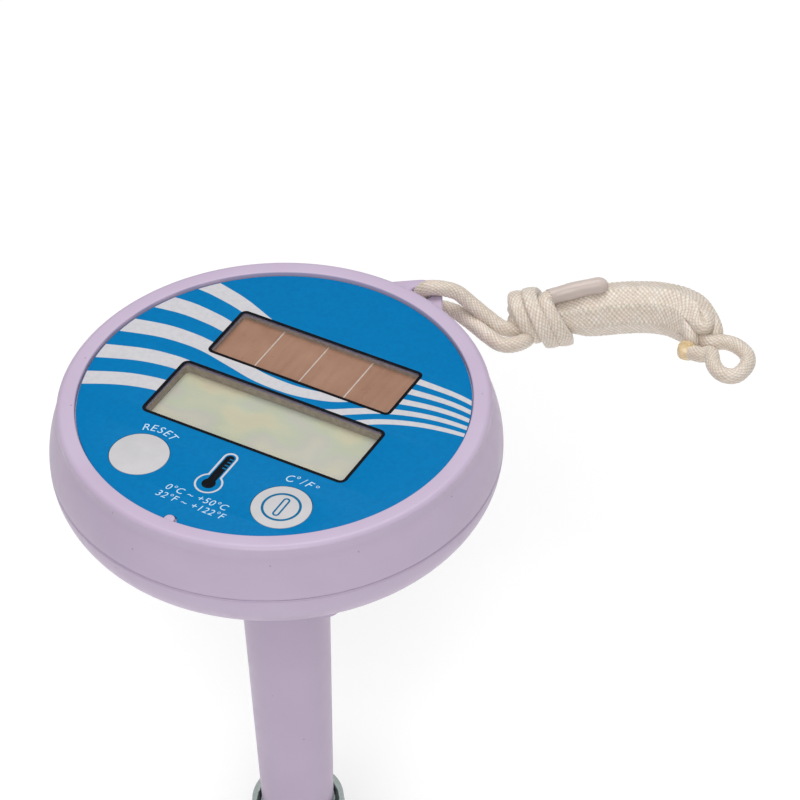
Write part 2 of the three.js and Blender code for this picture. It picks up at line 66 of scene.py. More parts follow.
# ---- driving dimensions, as in the CAD model (mm) --------------------------------------------
HEAD_RADIUS = 53.15
SEAM_Z = 2.0
SEAM_HALF_GAP = 0.07             # the hairline seen between the shells
RIM_TOP = 16.0
WALL = 2.2
BOWL_RADIUS = 14.2
SIDE_RADIUS = 25.0
EDGE_RADIUS = 1.6
BEZEL_INNER = 46.3
LIP_RADIUS = 50.3
LABEL_RADIUS = 46.0
LABEL_TOP = 15.0
LABEL_BOTTOM = 14.5
DECK_TOP = 14.2
DECK_BOTTOM = 12.2
OUTLINE = 0.8
SOLAR = {"x": 1.1, "y": 16.7, "width": 49.7, "height": 17.1, "corner": 1.6}
DISPLAY = {"x": 1.1, "y": -6.76, "width": 54.9, "height": 20.3, "corner": 1.8}
KEY_Y = -30.0
KEYS = {"reset": -18.0, "unit": 20.0}
KEY_RADIUS = 7.0
LUG = {"x": 7.4, "y": 55.8, "radius": 5.2, "hole": 2.6, "top": 10.0, "bottom": 6.0}
BOARD_SCREWS = [(-35, -8), (35, -8), (1.1, -33)]
SHELL_SCREW_RADIUS = 43.6
SCREW_SEAT_Z = -5.0
FLOOR_Z = SEAM_Z - BOWL_RADIUS
STEM_TOP_RADIUS = 11.56
STEM_TAPER = 0.0236
STEM_BOTTOM = -130.0
STEM_WALL = 1.8
FLANGE_RADIUS = 16.5
CAP_TOP = -116.3
CAP_BOTTOM = -156.0
CAP_NECK = 9.65
CAP_RADIUS = 13.0
CAP_HOLE = 3.5
CAP_SLOT = {"half_width": 1.3, "top": -137.0, "bottom": -149.0}
CAP_DRAW = 4.5                   # how far the cap comes down when it is unscrewed
FLOOR_GAP = 0.5                  # between the floor and the cap when it is drawn off
PRINT_Z = LABEL_TOP + 0.02       # top of the white and black print
CELL_PITCH = 12.1                # between the solar cell's pale joints
JOINT_HALF_WIDTH = 0.16
SCREW_HEAD_RADIUS = 2.6
SCREW_SHAFT_RADIUS = 1.2
SCREW_TIP_Z = 10.5
THREAD_PITCH = 0.8
THREAD_DEPTH = 0.25
CORD_DIAMETER = 3.8              # a little fuller than the CAD model's plain tubes
SLEEVE_LENGTH = 13.4
SLEEVE_RADIUS = 2.05

FINE = 192                       # segments of the head's round pieces
ROUND = 96
SMALL = 40
SHARP_ANGLE = 32                 # degrees; an edge that turns further stays sharp
SOFT_ANGLE = 80                  # the same on the cord and its ends


# ---- camera ----------------------------------------------------------------------------------
def make_camera():
    place = Vector((0.3936, -0.5973, 0.6402))
    aim = Vector((0.0166, 0.0291, 0.0))
    roll = math.radians(-1.92)
    data = bpy.data.cameras.new("camera")
    data.lens = 184.1
    data.sensor_width = 36
    camera = bpy.data.objects.new("camera", data)
    bpy.context.scene.collection.objects.link(camera)
    camera.rotation_mode = "QUATERNION"
    camera.location = place
    turn = (aim - place).to_track_quat("-Z", "Y")
    camera.rotation_quaternion = turn @ Quaternion((0, 0, 1), roll)
    bpy.context.scene.camera = camera


# ---- material helpers ------------------------------------------------------------------------
def rgb(red, green, blue):
    """A colour given as 0-255 display values, as the linear values that shaders take."""
    def linear(value):
        share = value / 255
        return share / 12.92 if share <= 0.04045 else ((share + 0.055) / 1.055) ** 2.4
    return (linear(red), linear(green), linear(blue), 1.0)


class Look:
    """A Principled material with helpers for its procedural detail, in object space."""

    def __init__(self, name, **sockets):
        self.material = bpy.data.materials.new(name)
        self.material.use_nodes = True
        self.nodes = self.material.node_tree.nodes
        self.links = self.material.node_tree.links
        self.shader = self.nodes["Principled BSDF"]
        self.place = self.nodes.new("ShaderNodeTexCoord").outputs["Object"]
        for socket, value in sockets.items():
            self.shader.inputs[socket.replace("_", " ")].default_value = value

    def stretched(self, scale):
        mapping = self.nodes.new("ShaderNodeMapping")
        mapping.inputs["Scale"].default_value = scale
        self.links.new(self.place, mapping.inputs["Vector"])
        return mapping.outputs["Vector"]

    def noise(self, size_mm, detail=3.0, rough=0.5, stretch=(1, 1, 1)):
        node = self.nodes.new("ShaderNodeTexNoise")
        node.inputs["Scale"].default_value = 1 / (size_mm * MM)
        node.inputs["Detail"].default_value = detail
        node.inputs["Roughness"].default_value = rough
        self.links.new(self.stretched(stretch), node.inputs["Vector"])
        return node.outputs["Fac"]

    def cells(self, size_mm):
        node = self.nodes.new("ShaderNodeTexVoronoi")
        node.inputs["Scale"].default_value = 1 / (size_mm * MM)
        self.links.new(self.place, node.inputs["Vector"])
        return node.outputs["Distance"]

    def waves(self, size_mm, axis="X", distortion=0.0):
        """Bands that far apart: the texture turns through 20 radians in one unit."""
        node = self.nodes.new("ShaderNodeTexWave")
        node.bands_direction = axis
        node.inputs["Scale"].default_value = 2 * math.pi / (20 * size_mm * MM)
        node.inputs["Distortion"].default_value = distortion
        self.links.new(self.place, node.inputs["Vector"])
        return node.outputs["Fac"]

    def attribute(self, name):
        node = self.nodes.new("ShaderNodeAttribute")
        node.attribute_name = name
        return node.outputs["Fac"]

    def remap(self, factor, low, high, start=0.3, end=0.7):
        node = self.nodes.new("ShaderNodeMapRange")
        node.inputs["From Min"].default_value = start
        node.inputs["From Max"].default_value = end
        node.inputs["To Min"].default_value = low
        node.inputs["To Max"].default_value = high
        self.links.new(factor, node.inputs["Value"])
        return node.outputs["Result"]

    def ramp(self, factor, stops):
        node = self.nodes.new("ShaderNodeValToRGB")
        elements = node.color_ramp.elements
        while len(elements) < len(stops):
            elements.new(0.5)
        for element, (position, colour) in zip(elements, stops):
            element.position = position
            element.color = colour
        self.links.new(factor, node.inputs["Fac"])
        return node.outputs["Color"]

    def mixed(self, first, second, factor, mode="MIX"):
        node = self.nodes.new("ShaderNodeMix")
        node.data_type = "RGBA"
        node.blend_type = mode
        self.links.new(first, node.inputs["A"])
        self.links.new(second, node.inputs["B"])
        if isinstance(factor, float):
            node.inputs["Factor"].default_value = factor
        else:
            self.links.new(factor, node.inputs["Factor"])
        return node.outputs["Result"]

    def colour(self, output):
        self.links.new(output, self.shader.inputs["Base Color"])
        return self

    def mottle(self, size_mm, dark, light, detail=3.0):
        return self.colour(self.ramp(self.noise(size_mm, detail), [(0.3, dark), (0.7, light)]))

    def roughness(self, output):
        self.links.new(output, self.shader.inputs["Roughness"])
        return self

    def bump(self, height, depth_mm):
        node = self.nodes.new("ShaderNodeBump")
        node.inputs["Distance"].default_value = depth_mm * MM
        self.links.new(height, node.inputs["Height"])
        socket = self.shader.inputs["Normal"]
        if socket.is_linked:
            self.links.new(socket.links[0].from_socket, node.inputs["Normal"])
        self.links.new(node.outputs["Normal"], socket)
        return self


def clear_look(name, tint, body, milk, shine, roughness=0.1):
    """A clear wall: light passes with a tint, and the body's colour shows more at the edges."""
    look = Look(name, Roughness=roughness, IOR=1.5)
    haze = look.noise(7, 4)
    look.colour(look.ramp(haze, [(0.3, body), (0.7, tuple(0.92 * c for c in body[:3]) + (1,))]))
    look.bump(look.noise(2.5, 2), 0.01)
    through = look.nodes.new("ShaderNodeBsdfTransparent")
    through.inputs["Color"].default_value = tint
    facing = look.nodes.new("ShaderNodeLayerWeight")
    facing.inputs["Blend"].default_value = 0.25
    share = look.remap(facing.outputs["Facing"], milk, shine, 0.0, 1.0)
    mix = look.nodes.new("ShaderNodeMixShader")
    look.links.new(share, mix.inputs["Fac"])
    look.links.new(through.outputs["BSDF"], mix.inputs[1])
    look.links.new(look.shader.outputs["BSDF"], mix.inputs[2])
    look.links.new(mix.outputs["Shader"], look.nodes["Material Output"].inputs["Surface"])
    return look.material


# ---- materials -------------------------------------------------------------------------------
def lavender_plastic():
    """Satin moulded shell: faint flow mottling, fine spark-eroded grain and a few dust specks."""
    look = Look("lavender_plastic", IOR=1.5, Specular_IOR_Level=0.36)
    base = look.ramp(look.noise(22, 3), [(0.3, rgb(187, 170, 194)), (0.7, rgb(192, 176, 199))])
    specks = look.ramp(look.cells(6), [(0.02, rgb(150, 130, 150)), (0.05, (1, 1, 1, 1))])
    look.colour(look.mixed(base, specks, 0.5, "MULTIPLY"))
    look.roughness(look.remap(look.noise(3, 4), 0.32, 0.44))
    look.bump(look.noise(0.35, 2), 0.012).bump(look.noise(9, 2), 0.05)
    return look.material


def printed_film(name, dark, light, rough=0.4):
    """Screen print on a plastic film: ink density varies a little under a satin surface."""
    look = Look(name, IOR=1.45, Specular_IOR_Level=0.05)
    look.mottle(1.1, dark, light, 4)
    look.roughness(look.remap(look.noise(0.5, 3), rough - 0.05, rough + 0.1))
    look.bump(look.noise(0.28, 2), 0.004).bump(look.noise(14, 2), 0.06)
    return look.material


def key_plastic():
    look = Look("key_film_white", IOR=1.49, Specular_IOR_Level=0.3)
    look.mottle(4, rgb(188, 187, 189), rgb(195, 193, 195))
    look.roughness(look.remap(look.noise(0.8, 3), 0.32, 0.45))
    look.bump(look.noise(0.3, 2), 0.006)
    return look.material


def solar_silicon():
    """Thin-film cell: copper-brown with faint vertical streaks from the coating."""
    look = Look("solar_silicon", IOR=1.5, Specular_IOR_Level=0.25)
    streaks = look.noise(1.6, 4, 0.6, (1, 0.12, 1))
    base = look.ramp(streaks, [(0.3, rgb(178, 134, 110)), (0.7, rgb(190, 145, 121))])
    clouds = look.ramp(look.noise(12, 2), [(0.3, rgb(236, 228, 226)), (0.7, (1, 1, 1, 1))])
    look.colour(look.mixed(base, clouds, 0.8, "MULTIPLY"))
    look.roughness(look.remap(look.noise(3, 3), 0.25, 0.4))
    look.bump(look.noise(0.6, 2), 0.004)
    return look.material


def bus_line():
    look = Look("bus_line_silver", Metallic=0.15)
    look.mottle(0.8, rgb(214, 196, 188), rgb(232, 218, 210))
    look.roughness(look.remap(look.noise(0.4, 2), 0.3, 0.5))
    return look.material


def lcd_glass():
    """Blank liquid-crystal glass: olive cream, with a painted reflection of faint thin-film colours
    in broad clouds.
    """
    look = Look("lcd_glass", IOR=1.5, Specular_IOR_Level=0.3)
    base = look.ramp(look.noise(18, 2), [(0.3, rgb(217, 213, 191)), (0.7, rgb(225, 222, 203))])
    # painted reflection: the glare's pink, cream, green and blue thin-film clouds multiplied into
    # the glass's colour
    film = look.ramp(look.noise(16, 2, 0.4, (1, 1.6, 1)), [
        (0.30, rgb(255, 241, 238)), (0.40, rgb(255, 253, 244)), (0.50, rgb(236, 247, 246)),
        (0.58, rgb(240, 240, 254)), (0.70, rgb(254, 252, 250)),
    ])
    look.colour(look.mixed(base, film, 0.85, "MULTIPLY"))
    look.roughness(look.remap(look.noise(5, 2), 0.16, 0.26))
    look.bump(look.waves(0.5, "Y"), 0.002)
    return look.material


def natural_frame():
    look = Look("natural_frame", IOR=1.5)
    look.mottle(5, rgb(196, 186, 178), rgb(214, 205, 196))
    look.roughness(look.remap(look.noise(1, 3), 0.5, 0.65))
    look.bump(look.noise(0.5, 3), 0.02)
    return look.material


def black_rubber():
    look = Look("black_rubber", IOR=1.5)
    look.mottle(1.5, rgb(34, 34, 36), rgb(50, 50, 52))
    look.roughness(look.remap(look.noise(0.8, 4), 0.62, 0.82))
    look.bump(look.noise(0.3, 3), 0.02)
    return look.material


def black_resin():
    look = Look("black_resin", IOR=1.55)
    look.mottle(2.5, rgb(24, 24, 27), rgb(38, 38, 42))
    look.roughness(look.remap(look.noise(2, 3), 0.28, 0.48))
    look.bump(look.noise(1.2, 3), 0.03)
    return look.material


def board_green():
    """Solder-masked laminate with faint copper tracks and a glass weave below."""
    look = Look("board_green", IOR=1.5, Coat_Weight=0.4, Coat_Roughness=0.2)
    weave = look.mixed(look.waves(0.6, "X"), look.waves(0.6, "Y"), 0.5)
    base = look.ramp(weave, [(0.2, rgb(22, 88, 46)), (0.8, rgb(32, 108, 58))])
    tracks = look.ramp(look.waves(2.4, "X", 6.0), [(0.78, (1, 1, 1, 1)), (0.86, rgb(190, 230, 170))])
    look.colour(look.mixed(base, tracks, 0.8, "MULTIPLY"))
    look.roughness(look.remap(look.noise(1.5, 3), 0.35, 0.5))
    look.bump(look.waves(2.4, "X", 6.0), 0.02)
    return look.material


def steel(name, rough):
    """Bright turned or drawn steel: fine circumferential lines and slight heat tint."""
    look = Look(name, Metallic=1.0)
    look.mottle(6, rgb(188, 188, 192), rgb(214, 214, 216))
    lines = look.noise(0.5, 3, 0.6, (1, 1, 6))
    look.roughness(look.remap(lines, rough - 0.06, rough + 0.12))
    look.bump(lines, 0.006)
    return look.material


def wire_skin(name, dark, light):
    look = Look(name, IOR=1.48)
    look.mottle(3, dark, light)
    look.roughness(look.remap(look.noise(0.7, 3), 0.35, 0.5))
    look.bump(look.noise(0.4, 2), 0.01)
    return look.material


def ivory_cord():
    """Braided polyester: ivory, with a painted highlight on the crowns and painted shade, beige,
    between the strands; fine filaments and a sheen.
    """
    look = Look("ivory_cord", Sheen_Weight=0.35, Sheen_Roughness=0.4, IOR=1.45,
                Subsurface_Weight=0.08, Subsurface_Scale=0.0008)
    # painted shade and highlight: the relief height darkens the grooves to beige and lightens the
    # crowns
    crown = look.ramp(look.attribute("relief"), [
        (0.0, rgb(192, 178, 163)), (0.3, rgb(216, 205, 193)), (0.7, rgb(240, 233, 224)),
        (1.0, rgb(251, 247, 242)),
    ])
    fade = look.ramp(look.noise(6, 3), [(0.3, rgb(244, 239, 233)), (0.7, (1, 1, 1, 1))])
    fibres = look.ramp(look.noise(0.25, 3), [(0.3, rgb(236, 230, 223)), (0.7, (1, 1, 1, 1))])
    tinted = look.mixed(crown, fade, 0.7, "MULTIPLY")
    look.colour(look.mixed(tinted, fibres, 0.6, "MULTIPLY"))
    look.roughness(look.remap(look.noise(0.4, 3), 0.42, 0.6))
    look.bump(look.noise(0.22, 3), 0.05)
    return look.material


def melted_end():
    look = Look("melted_end", IOR=1.5, Subsurface_Weight=0.25, Subsurface_Scale=0.001)
    look.mottle(1.6, rgb(200, 172, 124), rgb(224, 203, 164))
    look.roughness(look.remap(look.noise(1, 3), 0.18, 0.34))
    look.bump(look.noise(1.2, 2), 0.08)
    return look.material


def floor_look():
    look = Look("pale_floor", Roughness=0.9, Emission_Color=(1, 1, 1, 1), Emission_Strength=0.1)
    look.mottle(300, rgb(250, 250, 250), rgb(253, 253, 253))
    return look.material


LAVENDER = lavender_plastic()
BLUE_FILM = printed_film("label_film_blue", rgb(0, 110, 168), rgb(0, 116, 175))
WHITE_INK = printed_film("ink_white", rgb(191, 190, 195), rgb(200, 199, 202))
PALE_INK = printed_film("ink_pale_blue", rgb(178, 206, 226), rgb(198, 220, 234))
BLACK_INK = printed_film("ink_black", rgb(10, 12, 16), rgb(18, 22, 28))
BLUE_INK = printed_film("ink_blue", rgb(6, 96, 140), rgb(12, 108, 152))
KEY_WHITE = key_plastic()
WINDOW = clear_look("clear_window", (0.97, 0.975, 0.97, 1), rgb(90, 90, 92), 0.02, 0.3)
CAP_CLEAR = clear_look("smoke_clear_cap", rgb(228, 234, 232), rgb(140, 158, 156), 0.05, 0.75)
SLEEVE = clear_look("clear_sleeve", rgb(238, 226, 220), rgb(226, 214, 208), 0.62, 0.9, 0.25)
# painted shade: grey-brown for the window openings' walls, lavender plastic that lies in shade
RECESS_PAINTED_SHADE = printed_film("window_recess_painted_shade", rgb(158, 146, 133), rgb(184, 172, 158), 0.5)
SILICON = solar_silicon()
BUS_LINE = bus_line()
LCD = lcd_glass()
FRAME = natural_frame()
RUBBER = black_rubber()
RESIN = black_resin()
BOARD = board_green()
STEEL = steel("screw_steel", 0.28)
BALLAST = steel("ballast_steel", 0.42)
RED_WIRE = wire_skin("wire_red", rgb(150, 22, 18), rgb(182, 34, 28))
BLACK_WIRE = wire_skin("wire_black", rgb(20, 20, 22), rgb(38, 38, 40))
CORD = ivory_cord()
MELTED = melted_end()


# ---- mesh helpers ----------------------------------------------------------------------------
def shaded(mesh, angle=SHARP_ANGLE):
    mesh.shade_smooth()
    mesh.set_sharp_from_angle(angle=math.radians(angle))
    return mesh


def as_object(name, mesh, material=None):
    obj = bpy.data.objects.new(name, mesh)
    bpy.context.scene.collection.objects.link(obj)
    if material:
        mesh.materials.clear()
        mesh.materials.append(material)
    return obj


def solid(name, points, faces, material=None, angle=SHARP_ANGLE):
    """A mesh object from points in millimetres, with its faces turned outwards."""
    mesh = bpy.data.meshes.new(name)
    mesh.from_pydata((np.asarray(points, float) * MM).tolist(), [], faces)
    work = bmesh.new()
    work.from_mesh(mesh)
    bmesh.ops.recalc_face_normals(work, faces=work.faces)
    work.to_mesh(mesh)
    work.free()
    return as_object(name, shaded(mesh, angle), material)


def lathe(name, profile, segments=ROUND, material=None, at=(0, 0)):
    """Turns [radius, z] points about Z. The profile starts and ends on the axis, or closes."""
    points, rings = [], []
    for radius, z in profile:
        count = segments if radius > 1e-6 else 1
        rings.append(range(len(points), len(points) + count))
        turns = 2 * np.pi * np.arange(count) / count
        points += [(at[0] + radius * math.cos(t), at[1] + radius * math.sin(t), z) for t in turns]
    on_axis = len(rings[0]) == 1
    pairs = list(zip(rings, rings[1:])) + ([] if on_axis else [(rings[-1], rings[0])])
    faces = []
    for lower, upper in pairs:
        for i in range(segments):
            j = (i + 1) % segments
            corners = [lower[i % len(lower)], lower[j % len(lower)],
                       upper[j % len(upper)], upper[i % len(upper)]]
            faces.append(list(dict.fromkeys(corners)))
    return solid(name, points, [f for f in faces if len(f) > 2], material)


def arc(cx, cz, radius, start, end, steps):
    turns = np.radians(np.linspace(start, end, steps + 1))
    return [(cx + radius * math.cos(t), cz + radius * math.sin(t)) for t in turns]


def disc_profile(radius, bottom, top, bevel=0.0):
    if not bevel:
        return [(0, bottom), (radius, bottom), (radius, top), (0, top)]
    lower = arc(radius - bevel, bottom + bevel, bevel, -90, 0, 4)
    upper = arc(radius - bevel, top - bevel, bevel, 0, 90, 4)
    return [(0, bottom), *lower, *upper, (0, top)]


def ring_outline(cx, cy, radius, count=SMALL, start=0.0, end=360.0):
    turns = np.radians(np.linspace(start, end, count, endpoint=end - start < 360))
    return [(cx + radius * math.cos(t), cy + radius * math.sin(t)) for t in turns]


def pane_outline(pane, grow=0.0):
    """A window's rounded rectangle, grown or shrunk from its dark outline's outer edge."""
    corner = max(pane["corner"] + grow, 0.3)
    right = pane["width"] / 2 + grow - corner
    top = pane["height"] / 2 + grow - corner
    outline = []
    for turn, (sx, sy) in enumerate([(1, 1), (-1, 1), (-1, -1), (1, -1)]):
        centre = (pane["x"] + sx * right, pane["y"] + sy * top)
        outline += ring_outline(*centre, corner, 8, 90 * turn, 90 * turn + 90)
    return outline


def plate(name, outlines, bottom, top, material=None, bevel=0.0):
    """A flat piece from one or more closed outlines; an outline inside another is a hole."""
    curve = bpy.data.curves.new(name, "CURVE")
    curve.dimensions = "2D"
    curve.fill_mode = "BOTH"
    curve.extrude = (top - bottom) / 2 - bevel
    curve.bevel_depth = bevel
    curve.bevel_resolution = 2
    curve.offset = -bevel
    for outline in outlines:
        spline = curve.splines.new("POLY")
        spline.points.add(len(outline) - 1)
        for point, (x, y) in zip(spline.points, outline):
            point.co = (x, y, 0, 1)
        spline.use_cyclic_u = True
    return meshed(name, curve, Matrix.Translation((0, 0, (top + bottom) / 2)), material)


def meshed(name, curve, place, material):
    """The closed mesh of a flat curve or text made in millimetres."""
    source = bpy.data.objects.new(name + "_source", curve)
    bpy.context.scene.collection.objects.link(source)
    bpy.context.view_layer.update()
    evaluated = source.evaluated_get(bpy.context.evaluated_depsgraph_get())
    mesh = bpy.data.meshes.new_from_object(evaluated)
    bpy.data.objects.remove(source)
    mesh.transform(Matrix.Scale(MM, 4) @ place)
    work = bmesh.new()
    work.from_mesh(mesh)
    bmesh.ops.remove_doubles(work, verts=work.verts, dist=1e-7)
    bmesh.ops.dissolve_degenerate(work, edges=work.edges, dist=1e-8)
    bmesh.ops.recalc_face_normals(work, faces=work.faces)
    work.to_mesh(mesh)
    work.free()
    mesh.name = name
    return as_object(name, shaded(mesh), material)


def joined(name, objects, material=None):
    """One object from several, in their own places."""
    work = bmesh.new()
    for obj in objects:
        work.from_mesh(obj.data)
        bpy.data.objects.remove(obj)
    mesh = bpy.data.meshes.new(name)
    work.to_mesh(mesh)
    work.free()
    return as_object(name, shaded(mesh), material)


def combined(base, tools, operation):
    """Cuts the tools from the base, joins them to it, or keeps what they share."""
    tool = joined("boolean_tool", tools)
    modifier = base.modifiers.new("boolean", "BOOLEAN")
    modifier.solver = "EXACT"
    modifier.operation = operation
    modifier.object = tool
    bpy.context.view_layer.update()
    evaluated = base.evaluated_get(bpy.context.evaluated_depsgraph_get())
    mesh = bpy.data.meshes.new_from_object(evaluated)
    base.modifiers.clear()
    bpy.data.objects.remove(tool)
    materials = list(base.data.materials)
    base.data = shaded(mesh)
    base.data.materials.clear()
    for material in materials:
        base.data.materials.append(material)
    return base


def finished(obj, body, slot, *nodes):
    """Attaches a piece to the body that it rides on and hides the CAD nodes it stands for; the slot
    argument, its finish, is not used.
    """
    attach(obj, body)
    if nodes:
        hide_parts(*nodes)
    return obj


def smooth_through(points, count):
    """A Catmull-Rom curve through the points, as that many points evenly along it."""
    known = np.asarray(points, float)
    ends = [2 * known[0] - known[1], *known, 2 * known[-1] - known[-2]]
    known = np.array(ends)
    steps = np.linspace(0, 1, 24, endpoint=False)[:, None]
    pieces = []
    for a, b, c, d in zip(known, known[1:], known[2:], known[3:]):
        pieces.append(0.5 * (2 * b + (c - a) * steps + (2 * a - 5 * b + 4 * c - d) * steps ** 2
                             + (3 * b - a - 3 * c + d) * steps ** 3))
    line = np.vstack([*pieces, known[-2][None]])
    return spread_evenly(line, count)


def spread_evenly(line, count):
    along = np.concatenate([[0], np.cumsum(np.linalg.norm(np.diff(line[:, :3], axis=0), axis=1))])
    at = np.linspace(0, along[-1], count)
    return np.stack([np.interp(at, along, column) for column in line.T], axis=1)


# ---- tether cord -----------------------------------------------------------------------------
HANK_AXIS = [(31, 69.5, 1), (42, 78, 1), (58, 96, 1), (69, 84, 1)]
UPPER_ROUTE = [
    (7.4, 55.8, 8.3), (7.5, 55.8, 10.2), (9.2, 56, 12), (11.2, 57, 12.1), (13.2, 58.4, 11.4),
    (15.3, 59.9, 10), (17.8, 60.6, 7.8), (20.8, 60.9, 5.7), (23.5, 61.2, 3.9), (26.2, 61.5, 2.3),
    (28.3, 62.9, 1.3), (30.2, 65.2, 0.6), (31.8, 68, 0.8),
]
LOWER_ROUTE = [
    (7.4, 55.8, 7.7), (7.4, 55.8, 5.4), (8.3, 57.6, 4), (9.9, 59.2, 3.8), (12, 59.9, 3.7),
    (14.9, 60.1, 3.5), (18.6, 59.1, 3.2), (22.3, 57.8, 2.9), (25.7, 56.7, 2.5), (28.8, 56.2, 2),
    (31.1, 57.6, 1.5), (32.3, 60.3, 0.7), (32.4, 63.6, -0.5),
]
LOOP_ROUTE = [
    (75.3, 83.3, 1), (78.5, 83.4, 1), (82.4, 81.5, 1), (84.1, 77.8, 1), (83.3, 73.3, 1),
    (80.1, 72.4, 1), (76.9, 74.6, 1), (74.4, 78.2, 1), (72.9, 77.4, 0.2), (70.8, 77.3, -0.1),
    (69.3, 77.6, -0.3),
]
BEAD_PLACE = (68.3, 77.9, -0.5)
RUNS = 8                         # lengths of the lower cord side by side in the hank
RUN_SHARE = 0.717                # how far out a run's middle lies, as a share of the hank's radius
RUN_NEAR = -3.0                  # the lengths turn back at these distances along the hank
RUN_FAR = 45.5
WRAP_START = -2.8
WRAP_TURNS = 2.42
WRAP_PITCH = 3.4
WRAP_RADIUS = 6.0
WRAP_SLANT = 3.3                 # how far a turn leans along the hank
WRAP_LEAN = math.radians(80)     # where round the hank it leans furthest back
SLEEVE_RUN = (4.6, 16.5)         # where the cord lies along the hank under its sleeve
RING_STEP = 0.3                  # between a cord's rings
RING_SIDES = 52
BRAID_CELLS = 14                 # strands seen round the cord
BRAID_LENGTH = 1.15              # length of one strand's crossing
BRAID_DEPTH = 0.2
CELL_POWER = 10.0                # how square a length is pressed by its neighbours


class Hank:
    """The hank's middle line, measured in millimetres along it."""

    def __init__(self):
        t = np.linspace(0, 1, 400)[:, None]
        a, b, c, d = np.array(HANK_AXIS, float)
        line = (1 - t) ** 3 * a + 3 * t * (1 - t) ** 2 * b + 3 * t ** 2 * (1 - t) * c + t ** 3 * d
        self.line = spread_evenly(line, 400)
        self.length = float(np.linalg.norm(np.diff(line, axis=0), axis=1).sum())

    def at(self, along):
        """Points and their sideways directions at distances along the hank, past its ends too."""
        inside = np.clip(along, 0, self.length) / self.length * (len(self.line) - 1)
        index = np.minimum(inside.astype(int), len(self.line) - 2)
        share = (inside - index)[:, None]
        forward = self.line[index + 1] - self.line[index]
        forward /= np.linalg.norm(forward, axis=1)[:, None]
        beyond = (along - np.clip(along, 0, self.length))[:, None]
        points = self.line[index] * (1 - share) + self.line[index + 1] * share + beyond * forward
        sideways = np.stack([-forward[:, 1], forward[:, 0], np.zeros(len(along))], axis=1)
        return points, sideways

    def radius(self, along):
        """The bundle is pulled in under the wraps and closes at its far end."""
        return np.interp(along, [-6, 7, 12, 15, 39, 43, 48], [4, 4, 5.7, 6, 6, 5.5, 3.9])

    def outwards(self, along, angle):
        """Points on the middle line, and directions out of it at an angle round it."""
        points, sideways = self.at(along)
        up = np.array([0, 0, 1.0])
        return points, np.cos(angle)[:, None] * sideways + np.sin(angle)[:, None] * up


HANK = Hank()

# A cord's stations are rows of x, y, z, then its place in the hank (along, angle, radius), then
# how far neighbours press it (0 round to 1 square) and half the width they leave it.


def free_stations(route):
    """Stations for a stretch that lies free."""
    line = smooth_through(route, 8 * len(route))
    rest = np.tile([0, 0, 1, 0, CORD_DIAMETER / 2], (len(line), 1))
    return np.hstack([line, rest])


def hank_stations(along, angle, radius, pressed=0.0, width=CORD_DIAMETER / 2):
    columns = np.broadcast_arrays(along, angle, radius, pressed, width)
    rows = np.stack(columns, axis=1).astype(float)
    points, out = HANK.outwards(rows[:, 0], rows[:, 1])
    return np.hstack([points + rows[:, 2:3] * out, rows])


def run_stations(number, first_angle):
    """One length along the hank, and the fold that leads on to the next."""
    turn = 2 * math.pi / RUNS
    angle = first_angle - turn * number
    ends = (RUN_NEAR, RUN_FAR) if number % 2 == 0 else (RUN_FAR, RUN_NEAR)
    along = np.linspace(*ends, 60)
    pressed = np.clip(np.minimum(along - RUN_NEAR, RUN_FAR - along) / 3, 0, 1)
    radius = RUN_SHARE * HANK.radius(along)
    run = hank_stations(along, angle, radius, pressed, radius * math.tan(turn / 2))
    if number == RUNS - 1:
        return run
    share = np.linspace(0.1, 0.9, 7)
    sign = 1 if number % 2 == 0 else -1
    reach = along[-1] + sign * 1.8 * np.sin(math.pi * share)
    fold = hank_stations(reach, angle - turn * share, RUN_SHARE * HANK.radius(reach))
    return np.vstack([run, fold])


def wrap_stations(first_angle):
    """Slanting turns round the bundle, side by side."""
    turn = np.linspace(0, WRAP_TURNS, int(40 * WRAP_TURNS))
    angle = first_angle - 2 * math.pi * turn
    along = WRAP_START + WRAP_PITCH * turn - WRAP_SLANT * np.cos(angle - WRAP_LEAN)
    swell = np.minimum(1, 0.7 + 0.4 * turn)
    pressed = 0.6 * np.clip(np.minimum(turn / 0.7, (WRAP_TURNS - turn) / 0.3), 0, 1)
    return hank_stations(along, angle, WRAP_RADIUS * swell, pressed, WRAP_PITCH / 2)


def upper_stations():
    """From the lug through the hank's middle and out of its far end, to the loop and melted end."""
    along = [*np.linspace(1, 46, 46), 48.6, 49.9, 49.8]
    radius = [*np.zeros(46), 0.3, 1.8, 3.6]
    middle = hank_stations(along, 0.0, radius)
    return np.vstack([free_stations(UPPER_ROUTE), middle, free_stations(LOOP_ROUTE)])


def lower_stations():
    """From the lug into the hank's lengths and folds, then the wraps, ending in the sleeve."""
    first = math.radians(202.5)
    parts = [free_stations(LOWER_ROUTE)]
    parts += [run_stations(number, first) for number in range(RUNS)]
    last = first - 2 * math.pi * (RUNS - 1) / RUNS
    parts.append(wrap_stations(last))
    along = np.linspace(*SLEEVE_RUN, 16)
    radius = np.interp(along, [4, 8, 13, 17], [6.0, 6.7, 7.4, 7.5])
    angle = parts[-1][-1, 4] - math.radians(8)
    parts.append(hank_stations(along, angle, radius))
    return np.vstack(parts)


def settled(stations):
    """Even rows a ring's step apart, with the corners where stretches meet smoothed out."""
    length = np.linalg.norm(np.diff(stations[:, :3], axis=0), axis=1).sum()
    rows = spread_evenly(stations, int(length / RING_STEP))
    window = 11
    kernel = np.hanning(window + 2)[1:-1]
    kernel /= kernel.sum()
    padded = np.pad(rows[:, :3], ((window // 2, window // 2), (0, 0)), mode="edge")
    for axis in range(3):
        rows[:, axis] = np.convolve(padded[:, axis], kernel, mode="valid")
    return rows


def directions_along(line):
    forward = np.gradient(line, axis=0)
    return forward / np.linalg.norm(forward, axis=1)[:, None]


